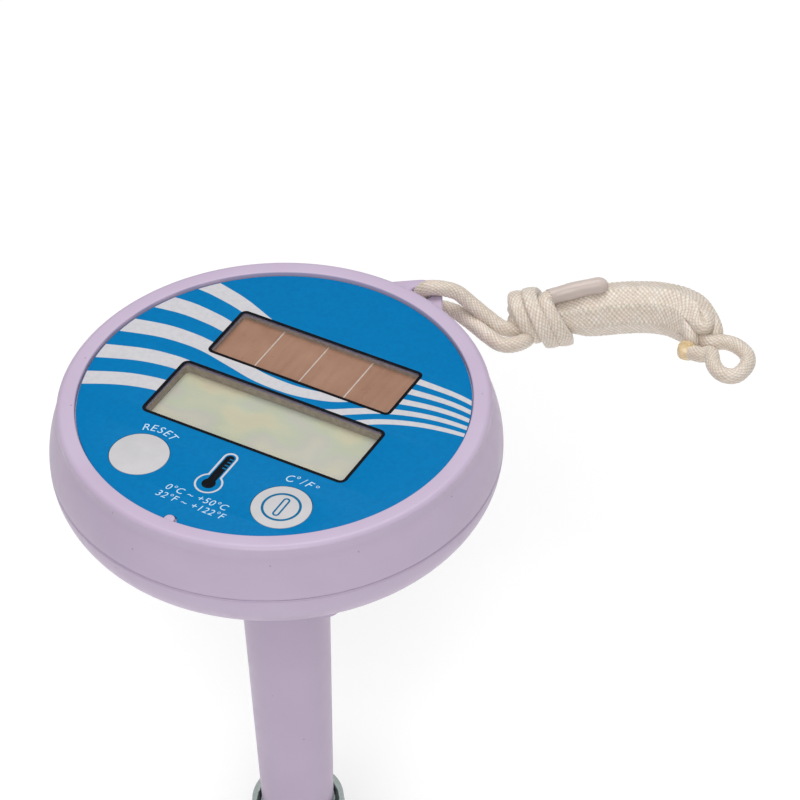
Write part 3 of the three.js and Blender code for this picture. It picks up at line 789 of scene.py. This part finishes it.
def ring_frames(line):
    """Two directions across the line at each point, carried along without twisting."""
    forward = directions_along(line)
    across = np.cross(forward[0], (0.2, 0.3, 0.9))
    first = []
    for direction in forward:
        across = across - direction * (across @ direction)
        across = across / np.linalg.norm(across)
        first.append(across)
    first = np.array(first)
    return first, np.cross(forward, first)


def ring_directions(line, sides):
    """The angles round a ring, and the directions out of the line at each of its points."""
    first, second = ring_frames(line)
    turns = 2 * math.pi * np.arange(sides) / sides
    across, over = np.cos(turns)[None, :, None], np.sin(turns)[None, :, None]
    return turns, across * first[:, None] + over * second[:, None]


def tube_sides(count, sides):
    """The faces between that many rings."""
    grid = np.arange(count * sides).reshape(count, sides)
    beside = np.roll(grid, -1, axis=1)
    faces = np.stack([grid[:-1], beside[:-1], beside[1:], grid[1:]], axis=-1)
    return faces.reshape(-1, 4).tolist()


def braid_relief(along, turns):
    """Height of a braid, 0 to 1: strands cross over and under in turn, none quite alike."""
    drift = 0.5 * np.sin(along / 2.3 + 2 * turns) + 0.35 * np.sin(along / 0.9 - 3 * turns)
    shift = BRAID_CELLS * turns / (2 * math.pi)
    left = shift + (along + 0.25 * drift) / BRAID_LENGTH
    right = shift - (along - 0.25 * drift) / BRAID_LENGTH
    over_left, over_right = (np.abs(np.sin(math.pi * strand)) for strand in (left, right))
    turned = (np.floor(left) + np.floor(right)) % 2
    crown = np.where(turned < 1, over_left * over_right ** 0.7, over_right * over_left ** 0.7)
    scatter = np.sin(12.9898 * np.floor(left) + 78.233 * np.floor(right)) * 43758.5453
    return crown * (0.6 + 0.4 * (scatter - np.floor(scatter)))


def pressed_points(rows, direction, scale):
    """Where the rings' points lie when neighbouring lengths press the cord to a squarer shape."""
    line, radius, width = rows[:, :3], rows[:, 5:6], rows[:, 7:8]
    forward = directions_along(line)
    middle, radial = HANK.outwards(rows[:, 3], rows[:, 4])
    across = np.cross(radial, forward)
    across /= np.linalg.norm(across, axis=1)[:, None] + 1e-9
    u = np.einsum("nsk,nk->ns", direction, across)
    v = np.einsum("nsk,nk->ns", direction, radial)
    size = (np.abs(u) ** CELL_POWER + np.abs(v) ** CELL_POWER) ** (1 / CELL_POWER) + 1e-9
    axis = np.cross(HANK.at(rows[:, 3])[1], (0, 0, 1))
    lengthwise = np.abs(np.einsum("nk,nk->n", forward, axis))[:, None]
    lift = 0.95 * width * v / size * scale
    spread = 1.1 * width * u / size * scale * (1 + lengthwise * lift / np.maximum(radius, 1))
    return (line[:, None] + lift[..., None] * radial[:, None] + spread[..., None] * across[:, None])


def cord_tube(name, stations):
    """The braided tube along a route. Returns it with its ring centres in metres."""
    rows = settled(stations)
    line = rows[:, :3]
    turns, direction = ring_directions(line, RING_SIDES)
    along = np.arange(len(rows)) * RING_STEP
    relief = braid_relief(along[:, None], turns[None, :])
    scale = 1 + BRAID_DEPTH * (relief - 0.6) / (CORD_DIAMETER / 2)
    round_points = line[:, None] + direction * (scale * CORD_DIAMETER / 2)[..., None]
    pressed = rows[:, 6][:, None, None]
    points = (1 - pressed) * round_points + pressed * pressed_points(rows, direction, scale)
    start, end = len(rows) * RING_SIDES, len(rows) * RING_SIDES + 1
    last_ring = start - RING_SIDES
    caps = []
    for i in range(RING_SIDES):
        j = (i + 1) % RING_SIDES
        caps += [[start, j, i], [end, last_ring + i, last_ring + j]]
    everything = np.vstack([points.reshape(-1, 3), line[0], line[-1]])
    faces = tube_sides(len(rows), RING_SIDES) + caps
    obj = solid(name, everything, faces, CORD, SOFT_ANGLE)
    heights = np.append(relief.ravel(), [0.3, 0.3]).astype(np.float32)
    obj.data.attributes.new("relief", "FLOAT", "POINT").data.foreach_set("value", heights)
    return obj, (line * MM).tolist()


def melted_bead():
    """The cord's heat-sealed end: a lumpy drop."""
    work = bmesh.new()
    bmesh.ops.create_icosphere(work, subdivisions=4, radius=2.4)
    for vertex in work.verts:
        x, y, z = vertex.co
        lump = 0.08 * math.sin(1.7 * x + 0.6) * math.cos(1.4 * y) + 0.05 * math.sin(2.3 * z + x)
        vertex.co *= 1 + lump
        vertex.co.x *= 1.08
    mesh = bpy.data.meshes.new("cord_end_melted")
    bmesh.ops.transform(work, matrix=Matrix.Scale(MM, 4) @ Matrix.Translation(BEAD_PLACE),
                        verts=work.verts)
    work.to_mesh(mesh)
    work.free()
    return as_object("cord_end_melted", shaded(mesh, SOFT_ANGLE), MELTED)


def end_sleeve(line):
    """A soft milky sleeve drawn over the lower cord's last stretch, closed at its far end."""
    middle = np.array(line[-int(SLEEVE_LENGTH / RING_STEP):]) / MM
    forward = middle[-1] - middle[-2]
    forward /= np.linalg.norm(forward)
    middle = np.vstack([middle, [middle[-1] + forward * step for step in (0.6, 1.2, 1.7, 2, 2.1)]])
    direction = ring_directions(middle, SMALL)[1]
    left = np.linalg.norm(middle - middle[-1], axis=1)
    closing = np.sqrt(np.clip(1 - (np.clip(2.6 - left, 0, 2.6) / 2.6) ** 2, 0.0, 1))
    radius = (SLEEVE_RADIUS + 0.07 * np.sin(left * 0.9)) * np.maximum(closing, 0.02)
    outside = middle[:, None] + direction * radius[:, None, None]
    total = len(middle) * SMALL
    ends = [list(range(SMALL))[::-1], list(range(total - SMALL, total))]
    faces = tube_sides(len(middle), SMALL) + ends
    return solid("cord_end_clear_sleeve", outside.reshape(-1, 3), faces, SLEEVE, 60)


def make_cords():
    upper, upper_line = cord_tube("tether_cord_upper", upper_stations())
    lower, lower_line = cord_tube("tether_cord_lower", lower_stations())
    bead = melted_bead()
    sleeve = end_sleeve(lower_line)
    finished(upper, "root", "ivory_cord", "cord_upper_strand", "cord_end_loop")
    finished(lower, "root", "ivory_cord", "cord_lower_strand", "cord_hank")
    finished(bead, "root", "melted_end", "cord_end_bead")
    finished(sleeve, "root", "clear_sleeve", "cord_end_sleeve")


# ---- head shells -----------------------------------------------------------------------------
def upper_profile():
    side_x = HEAD_RADIUS - SIDE_RADIUS
    seam = SEAM_Z + SEAM_HALF_GAP
    side = arc(side_x, seam, SIDE_RADIUS, 0.8, 26, 16)
    start = (side[0][0] - 0.25, seam)
    edge = arc(side[-1][0] - EDGE_RADIUS * 0.86, RIM_TOP - EDGE_RADIUS, EDGE_RADIUS, 30, 90, 10)
    lip = arc(BEZEL_INNER + 0.35, RIM_TOP - 0.35, 0.35, 90, 180, 5)
    inside = LIP_RADIUS + 0.3
    return [(0, DECK_BOTTOM), (inside - 2, DECK_BOTTOM), (inside, DECK_BOTTOM - 2), (inside, seam),
            start, *side, *edge, *lip, (BEZEL_INNER, DECK_TOP), (0, DECK_TOP)]


def lug_ear():
    """The tether ear: straight flanks run out to a round end about the hole."""
    outline = [(-8, 51.4), *ring_outline(LUG["x"], LUG["y"], LUG["radius"], 25, 125, 35)]
    outline += [(17.5, 48.9), (15, 45), (-6, 47)]
    ear = plate("lug_ear", [outline], LUG["bottom"], LUG["top"], bevel=0.55)
    inner = lathe("lug_clear", disc_profile(HEAD_RADIUS - 2.4, 0, 20), FINE)
    return combined(ear, [inner], "DIFFERENCE")


def shell_screw_places():
    turns = [math.pi / 4 + math.pi / 2 * i for i in range(4)]
    return [(SHELL_SCREW_RADIUS * math.cos(t), SHELL_SCREW_RADIUS * math.sin(t)) for t in turns]


def locating_tab():
    reach, radius = 2.0, 1.3
    y = reach - radius - BEZEL_INNER
    outline = [*ring_outline(0, y, radius, 17, 0, 180), (-radius, y - 2.2), (radius, y - 2.2)]
    return plate("locating_tab", [outline], DECK_TOP - 1, RIM_TOP - 0.4, bevel=0.3)


def upper_shell():
    shell = lathe("upper_shell", upper_profile(), FINE, LAVENDER)
    seam = SEAM_Z + 2 * SEAM_HALF_GAP
    bosses = [lathe("boss", disc_profile(3.2, seam, DECK_BOTTOM + 1), SMALL, at=p)
              for p in shell_screw_places()]
    bosses += [lathe("boss", disc_profile(2.8, 8, DECK_BOTTOM + 1), SMALL, at=p)
               for p in BOARD_SCREWS]
    shell = combined(shell, [lug_ear(), locating_tab(), *bosses], "UNION")
    hole = [(0, LUG["bottom"] - 2), (LUG["hole"] + 1.4, LUG["bottom"] - 2),
            *[(LUG["hole"] + 0.5 - 0.5 * math.cos(t), LUG["bottom"] + 0.5 - 0.5 * math.sin(t))
              for t in np.linspace(math.pi / 2, 0, 5)],
            *[(LUG["hole"] + 0.5 - 0.5 * math.cos(t), LUG["top"] - 0.5 + 0.5 * math.sin(t))
              for t in np.linspace(0, math.pi / 2, 5)],
            (LUG["hole"] + 1.4, LUG["top"] + 2), (0, LUG["top"] + 2)]
    cuts = [lathe("cut", hole, SMALL, at=(LUG["x"], LUG["y"]))]
    for x in KEYS.values():
        pocket = [(0, DECK_BOTTOM - 1), (2.6, DECK_BOTTOM - 1), (2.6, DECK_TOP - 0.9),
                  (KEY_RADIUS + 0.4, DECK_TOP - 0.9), (KEY_RADIUS + 0.4, DECK_TOP + 1),
                  (0, DECK_TOP + 1)]
        cuts.append(lathe("cut", pocket, ROUND, at=(x, KEY_Y)))
    for pane in (SOLAR, DISPLAY):
        cuts.append(plate("cut", [pane_outline(pane, -OUTLINE)], DECK_BOTTOM - 1, DECK_TOP + 1))
    for x, y in shell_screw_places() + BOARD_SCREWS:
        cuts.append(lathe("cut", disc_profile(1.3, 0, DECK_BOTTOM - 0.9), SMALL, at=(x, y)))
    shell = combined(shell, cuts, "DIFFERENCE")
    paint_recess_shade(shell)
    return finished(shell, "root", "lavender_shell", "upper_housing")


def paint_recess_shade(shell):
    """The walls of the window openings get a grey-brown colour: painted shade on the lavender
    plastic.
    """
    shell.data.materials.append(RECESS_PAINTED_SHADE)
    for face in shell.data.polygons:
        x, y = face.center.x / MM, face.center.y / MM
        for pane in (SOLAR, DISPLAY):
            inside = (abs(x - pane["x"]) < pane["width"] / 2
                      and abs(y - pane["y"]) < pane["height"] / 2)
            # the upright wall faces inside a window opening take the painted shade
            if inside and abs(face.normal.z) < 0.5:
                face.material_index = 1


def lower_shell():
    seam = SEAM_Z - SEAM_HALF_GAP
    centre = HEAD_RADIUS - BOWL_RADIUS
    collar = STEM_TOP_RADIUS + 0.25
    outside = arc(centre, SEAM_Z, BOWL_RADIUS, -90, -2.2, 40)
    inside = arc(centre, SEAM_Z, BOWL_RADIUS - WALL, -20, -90, 24)
    flare = arc(collar + 4.2, FLOOR_Z - 2.6, 2.6, 180, 90, 8)
    profile = [(collar, FLOOR_Z - 5), (collar + 1.3, FLOOR_Z - 5), (collar + 1.6, FLOOR_Z - 4.7),
               *flare, *outside, (HEAD_RADIUS - 0.28, seam), (LIP_RADIUS, seam),
               (LIP_RADIUS, SEAM_Z + 3), (LIP_RADIUS - 1.7, SEAM_Z + 3), *inside,
               (collar, FLOOR_Z + WALL)]
    shell = lathe("lower_shell", profile, FINE, LAVENDER)
    bosses = [lathe("boss", disc_profile(3.9, FLOOR_Z + 2, seam), SMALL, at=p)
              for p in shell_screw_places()]
    shell = combined(shell, bosses, "UNION")
    cuts = []
    for x, y in shell_screw_places():
        pocket = [(0, FLOOR_Z - 2), (3, FLOOR_Z - 2), (3, SCREW_SEAT_Z), (1.5, SCREW_SEAT_Z),
                  (1.5, SEAM_Z + 4), (0, SEAM_Z + 4)]
        cuts.append(lathe("cut", pocket, SMALL, at=(x, y)))
    shell = combined(shell, cuts, "DIFFERENCE")
    return finished(shell, "root", "lavender_shell", "lower_housing")


# ---- label and its print ---------------------------------------------------------------------
BAND_MIDDLE = [(-47, 7.0), (-37, 9.45), (-30, 10.0), (-24, 9.6), (-16, 7.8), (-8, 6.0), (0, 5.6),
               (6, 6.3), (12, 7.9), (18, 11.0), (24, 13.5), (32, 15.25), (39, 15.8), (47, 15.3)]
BAND_SPACING = [(-47, 11.0), (-37, 9.8), (-26, 8.6), (-10, 7.4), (6, 6.3), (18, 5.1), (26, 4.0),
                (32, 3.4), (38, 2.95), (47, 2.2)]
BAND_SHARE = 0.245               # half a band's width, as a share of the spacing
CAPITAL_SHARE = 0.729            # a capital's height, as a share of the lettering's size


def heights_at(points, xs):
    line = smooth_through([(x, y) for x, y in points], 400)
    return np.interp(xs, line[:, 0], line[:, 1])


def wave_bands():
    """Five white waves fan out across the label and pass behind both windows."""
    xs = np.linspace(-46.5, 46.5, 90)
    middle, spacing = heights_at(BAND_MIDDLE, xs), heights_at(BAND_SPACING, xs)
    bands = []
    for place in (2, 1, 0, -1, -2):
        centre = middle + place * spacing
        upper, lower = centre + BAND_SHARE * spacing, centre - BAND_SHARE * spacing
        outline = list(zip(xs, upper)) + list(zip(xs[::-1], lower[::-1]))
        bands.append(plate("band", [outline], LABEL_TOP - 0.06, PRINT_Z))
    area = [ring_outline(0, 0, LABEL_RADIUS - 0.12, FINE)]
    area += [pane_outline(pane) for pane in (SOLAR, DISPLAY)]
    region = plate("print_area", area, LABEL_TOP - 0.2, LABEL_TOP + 0.2)
    bands = combined(joined("wave_bands", bands, WHITE_INK), [region], "INTERSECT")
    return finished(bands, "root", "label_film")


def label():
    notch = [(-1.75, -47), (-1.75, -45.6), *ring_outline(0, -45.6, 1.75, 13, 180, 0), (1.75, -47)]
    outlines = [ring_outline(0, 0, LABEL_RADIUS, FINE)]
    outlines += [pane_outline(pane, -0.02) for pane in (SOLAR, DISPLAY)]
    outlines += [ring_outline(x, KEY_Y, KEY_RADIUS + 0.12, ROUND) for x in KEYS.values()]
    film = plate("panel_label", outlines, LABEL_BOTTOM, LABEL_TOP, BLUE_FILM, bevel=0.06)
    film = combined(film, [plate("notch", [notch], LABEL_BOTTOM - 1, LABEL_TOP + 1)], "DIFFERENCE")
    return finished(film, "root", "label_film", "label_overlay")


def window_outlines():
    frames = [plate("frame", [pane_outline(pane), pane_outline(pane, -OUTLINE)],
                    LABEL_TOP - 0.02, PRINT_Z) for pane in (SOLAR, DISPLAY)]
    return finished(joined("window_outlines", frames, BLACK_INK), "root", "label_film")


def letters(name, text, height, place, spacing=1.0):
    """Slanted capitals, flat on the label, centred on a place."""
    curve = bpy.data.curves.new(name, "FONT")
    curve.body = text
    curve.size = height / CAPITAL_SHARE
    curve.shear = 0.18
    curve.space_character = spacing
    curve.align_x = "CENTER"
    curve.align_y = "CENTER"
    curve.offset = -0.008
    curve.extrude = 0.02
    curve.resolution_u = 4
    return meshed(name, curve, place, WHITE_INK)


def letters_on_arc(name, text, centre, radius, half_angle):
    """Each letter stands square on an arc over a key."""
    pieces = []
    for letter, turn in zip(text, np.linspace(half_angle, -half_angle, len(text))):
        turned = Matrix.Rotation(math.radians(turn), 4, "Z")
        place = (Matrix.Translation((*centre, LABEL_TOP)) @ turned
                 @ Matrix.Translation((0, radius, 0)))
        pieces.append(letters(name, letter, 2.25, place))
    return pieces


def label_text():
    pieces = letters_on_arc("text", "RESET", (KEYS["reset"], KEY_Y), 9.2, 23)
    pieces += letters_on_arc("text", "C°/F°", (KEYS["unit"], KEY_Y), 9.5, 20)
    for text, x, y in (("0°C ~ +50°C", 1.3, -36.3), ("32°F ~ +122°F", 1.3, -39.1)):
        place = Matrix.Translation((x, y, LABEL_TOP))
        pieces.append(letters("text", text, 2.0, place, 1.1))
    return finished(joined("label_text", pieces, PALE_INK), "root", "label_film")


def bulb_and_tube(x, top, half_width, bulb_y, bulb_radius):
    """Outline of a thermometer: a round-topped tube that runs into a bulb."""
    opening = math.degrees(math.asin(half_width / bulb_radius))
    bulb = ring_outline(x, bulb_y, bulb_radius, 41, 90 + opening, 450 - opening)
    return bulb + ring_outline(x, top - half_width, half_width, 17, 0, 180)


def thermometer_icon():
    x, bulb_y = 1.33, -31.0
    line = plate("line", [bulb_and_tube(x, -19.7, 1.85, bulb_y, 3.35),
                          bulb_and_tube(x, -20.2, 1.35, bulb_y, 2.9)], LABEL_TOP - 0.05, PRINT_Z)
    finished(joined("icon_outline", [line], WHITE_INK), "root", "label_film")
    tube_shape = bulb_and_tube(x, -20.6, 1.05, bulb_y, 1.65)
    ticks = [[(x + 0.05, y - 0.2), (x + 1.2, y - 0.2), (x + 1.2, y + 0.2), (x + 0.05, y + 0.2)]
             for y in (-21.8, -22.9, -24.0, -25.1)]
    body = plate("body", [tube_shape], LABEL_TOP - 0.05, PRINT_Z - 0.004)
    finished(joined("icon_column", [body], BLACK_INK), "root", "label_film")
    marks = [plate("tick", [tick], LABEL_TOP - 0.04, PRINT_Z + 0.004) for tick in ticks]
    finished(joined("icon_scale", marks, BLUE_INK), "root", "label_film")


# ---- windows, cell and keys ------------------------------------------------------------------
def window_pane(name, pane, node):
    glass = plate(name, [pane_outline(pane, -0.06)], LABEL_BOTTOM, LABEL_TOP - 0.005, WINDOW, 0.05)
    return finished(glass, "root", "clear_window", node)


def cell_lines():
    """Three pale joints divide the cell into four."""
    low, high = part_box("solar_cell")
    top = high.z / MM
    middle, half = (low.x + high.x) / 2 / MM, (high.y - low.y) / 2 / MM - 0.6
    y = (low.y + high.y) / 2 / MM
    strips = []
    for place in (-1, 0, 1):
        x = middle + CELL_PITCH * place - 0.8
        left, right = x - JOINT_HALF_WIDTH, x + JOINT_HALF_WIDTH
        outline = [(left, y - half), (right, y - half), (right, y + half), (left, y + half)]
        strips.append(plate("strip", [outline], top - 0.02, top + 0.03))
    return finished(joined("solar_cell_joints", strips, BUS_LINE), "root", "solar_silicon")


def key_cap(name, x):
    stem = 2.2
    edge = arc(KEY_RADIUS - 0.12, LABEL_TOP - 0.12, 0.12, 0, 90, 5)
    profile = [(0, DECK_BOTTOM + 0.2), (stem, DECK_BOTTOM + 0.2), (stem, LABEL_TOP - 0.9),
               (KEY_RADIUS - 0.1, LABEL_TOP - 0.9), (KEY_RADIUS, LABEL_TOP - 0.8), *edge,
               (0, LABEL_TOP)]
    cap = lathe(f"{name}_key", profile, ROUND, KEY_WHITE, (x, KEY_Y))
    return finished(cap, f"{name}_button", "key_white", f"{name}_button")


def unit_key_print():
    """A ring and an upright slot on the unit key."""
    x = KEYS["unit"]
    ring = plate("ring", [ring_outline(x, KEY_Y, 4.65, 72), ring_outline(x, KEY_Y, 4.05, 72)],
                 LABEL_TOP - 0.04, PRINT_Z)
    slot = []
    for half, reach in ((0.88, 2.32), (0.44, 2.32)):
        slot.append(ring_outline(x, KEY_Y + reach, half, 13, 0, 180)
                    + ring_outline(x, KEY_Y - reach, half, 13, 180, 360))
    bar = plate("bar", slot, LABEL_TOP - 0.04, PRINT_Z)
    return finished(joined("unit_key_print", [ring, bar], BLUE_INK), "unit_button", "label_film")


# ---- stem, end cap and screws ----------------------------------------------------------------
def stem_radius(z):
    return STEM_TOP_RADIUS - STEM_TAPER * (FLOOR_Z - z)


def stem():
    flange = FLOOR_Z + WALL + 1.6
    low, high = stem_radius(STEM_BOTTOM), stem_radius(FLOOR_Z)
    profile = [(low - STEM_WALL, STEM_BOTTOM), (low - 0.4, STEM_BOTTOM), (low, STEM_BOTTOM + 0.4),
               (high, FLOOR_Z), (high, flange), (FLANGE_RADIUS - 0.2, flange),
               (FLANGE_RADIUS, flange + 0.2), (FLANGE_RADIUS, flange + 1.8),
               (FLANGE_RADIUS - 0.2, flange + 2), (high - STEM_WALL, flange + 2)]
    return finished(lathe("stem", profile, ROUND, LAVENDER), "root", "lavender_shell", "stem_tube")


def cap_slot(turn):
    """A cutter for two opposite water slots, round at their ends."""
    half = CAP_SLOT["half_width"]
    outline = ring_outline(0, CAP_SLOT["top"] - half, half, 13, 0, 180)
    outline += ring_outline(0, CAP_SLOT["bottom"] + half, half, 13, 180, 360)
    bar = plate("slot", [outline], -20, 20)
    bar.data.transform(Matrix.Rotation(turn, 4, "Z") @ Matrix.Rotation(math.pi / 2, 4, "X"))
    return bar


def cap():
    shoulder = arc(CAP_NECK, CAP_TOP - 2, 2, 85, 14, 8)
    foot = arc(CAP_RADIUS - 6, CAP_BOTTOM + 6, 6, -90, 0, 20)
    flank = [(CAP_RADIUS, -131), (12.55, -127.5), (12.1, -124)]
    inner_foot = arc(CAP_RADIUS - 6, CAP_BOTTOM + 6, 4, 0, -90, 12)
    profile = [(CAP_HOLE, CAP_BOTTOM), *foot, *flank, *reversed(shoulder), (CAP_NECK, CAP_TOP),
               (CAP_NECK, STEM_BOTTOM), (CAP_RADIUS - 2, STEM_BOTTOM - 2), *inner_foot,
               (CAP_HOLE, CAP_BOTTOM + 2)]
    wall = lathe("clear_end_cap", profile, ROUND, CAP_CLEAR)
    for i in range(3):
        wall = combined(wall, [cap_slot(math.radians(60 * i))], "DIFFERENCE")
    return finished(wall, "end_cap", "smoke_clear_cap", "end_cap")


def pan_screw(name, node, x, y):
    """A pan-head screw, head down, with a cross recess and a rolled thread."""
    head, shaft = SCREW_HEAD_RADIUS, SCREW_SHAFT_RADIUS
    bottom, top = SCREW_SEAT_Z - 2.5, SCREW_SEAT_Z - 0.3
    dome = [(0, bottom), (head * 0.6, bottom + 0.12), (head * 0.9, bottom + 0.5), (head, bottom + 1)]
    thread = []
    for z in np.arange(top + 0.6, SCREW_TIP_Z - 1.2, THREAD_PITCH):
        thread += [(shaft, z), (shaft - THREAD_DEPTH, z + THREAD_PITCH / 2)]
    tip = [(0.3, SCREW_TIP_Z - 0.1), (0, SCREW_TIP_Z)]
    body = lathe(name, [*dome, (head, top), (shaft, top), *thread, *tip], SMALL, STEEL, (x, y))
    for w, d in ((0.35, 1.5), (1.5, 0.35)):
        outline = [(x - w, y - d), (x + w, y - d), (x + w, y + d), (x - w, y + d)]
        arm = plate("arm", [outline], bottom - 1, bottom + 1.1)
        body = combined(body, [arm], "DIFFERENCE")
    return finished(body, "root", "steel", node)


def screws():
    for i, (x, y) in enumerate(shell_screw_places(), 1):
        pan_screw(f"shell_screw_{i}", f"housing_screw_{i}", x, y)


# ---- pieces kept from the CAD model ----------------------------------------------------------
def kept_nodes():
    looks = {
        "housing_seal": RUBBER, "stem_gasket": RUBBER, "cap_seal": RUBBER,
        "zebra_connector_upper": RUBBER, "zebra_connector_lower": RUBBER,
        "solar_cell": SILICON, "lcd_panel": LCD, "lcd_holder": FRAME,
        "reset_plunger": FRAME, "unit_plunger": FRAME,
        "reset_switch": RESIN, "unit_switch": RESIN, "controller_blob": RESIN,
        "storage_capacitor": RESIN, "end_plug": RESIN,
        "circuit_board": BOARD, "clock_crystal": STEEL, "probe_sheath": STEEL,
        "ballast_weight": BALLAST, "board_screw_1": STEEL, "board_screw_2": STEEL,
        "board_screw_3": STEEL, "sensor_lead_red": RED_WIRE, "solar_lead_red": RED_WIRE,
        "sensor_lead_black": BLACK_WIRE, "solar_lead_black": BLACK_WIRE,
    }
    for node, material in looks.items():
        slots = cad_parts[node].data.materials
        slots.clear()
        slots.append(material)


# ---- stage and light -------------------------------------------------------------------------
def make_stage():
    reach = 3.0
    height = CAD_BOX[0].z - (CAP_DRAW + FLOOR_GAP) * MM
    mesh = bpy.data.meshes.new("floor")
    corners = [(-reach, -reach), (reach, -reach), (reach, reach), (-reach, reach)]
    mesh.from_pydata([(x, y, height) for x, y in corners], [], [(0, 1, 2, 3)])
    as_object("floor", mesh, floor_look())


def soft_light(name, place, aim, size, power):
    data = bpy.data.lights.new(name, "AREA")
    data.shape = "DISK"
    data.size = size
    data.energy = power
    lamp = bpy.data.objects.new(name, data)
    bpy.context.scene.collection.objects.link(lamp)
    lamp.location = place
    lamp.rotation_euler = (Vector(aim) - Vector(place)).to_track_quat("-Z", "Y").to_euler()


def make_light():
    world = bpy.data.worlds.new("studio")
    bpy.context.scene.world = world
    world.use_nodes = True
    background = world.node_tree.nodes["Background"]
    background.inputs["Color"].default_value = (1, 1, 1, 1)
    background.inputs["Strength"].default_value = 0.31
    soft_light("front", (0.45, -0.85, 1.05), (0, 0, -0.03), 0.9, 9.3)
    soft_light("overhead", (-0.15, 0.4, 1.5), (0, 0, 0), 1.2, 15)
    bpy.context.scene.view_settings.view_transform = "Standard"


make_camera()
make_cords()
upper_shell()
lower_shell()
label()
wave_bands()
window_outlines()
label_text()
thermometer_icon()
window_pane("solar_window_pane", SOLAR, "solar_window")
window_pane("display_window_pane", DISPLAY, "display_window")
cell_lines()
for key_name, key_x in KEYS.items():
    key_cap(key_name, key_x)
unit_key_print()
stem()
cap()
screws()
kept_nodes()
make_stage()
make_light()
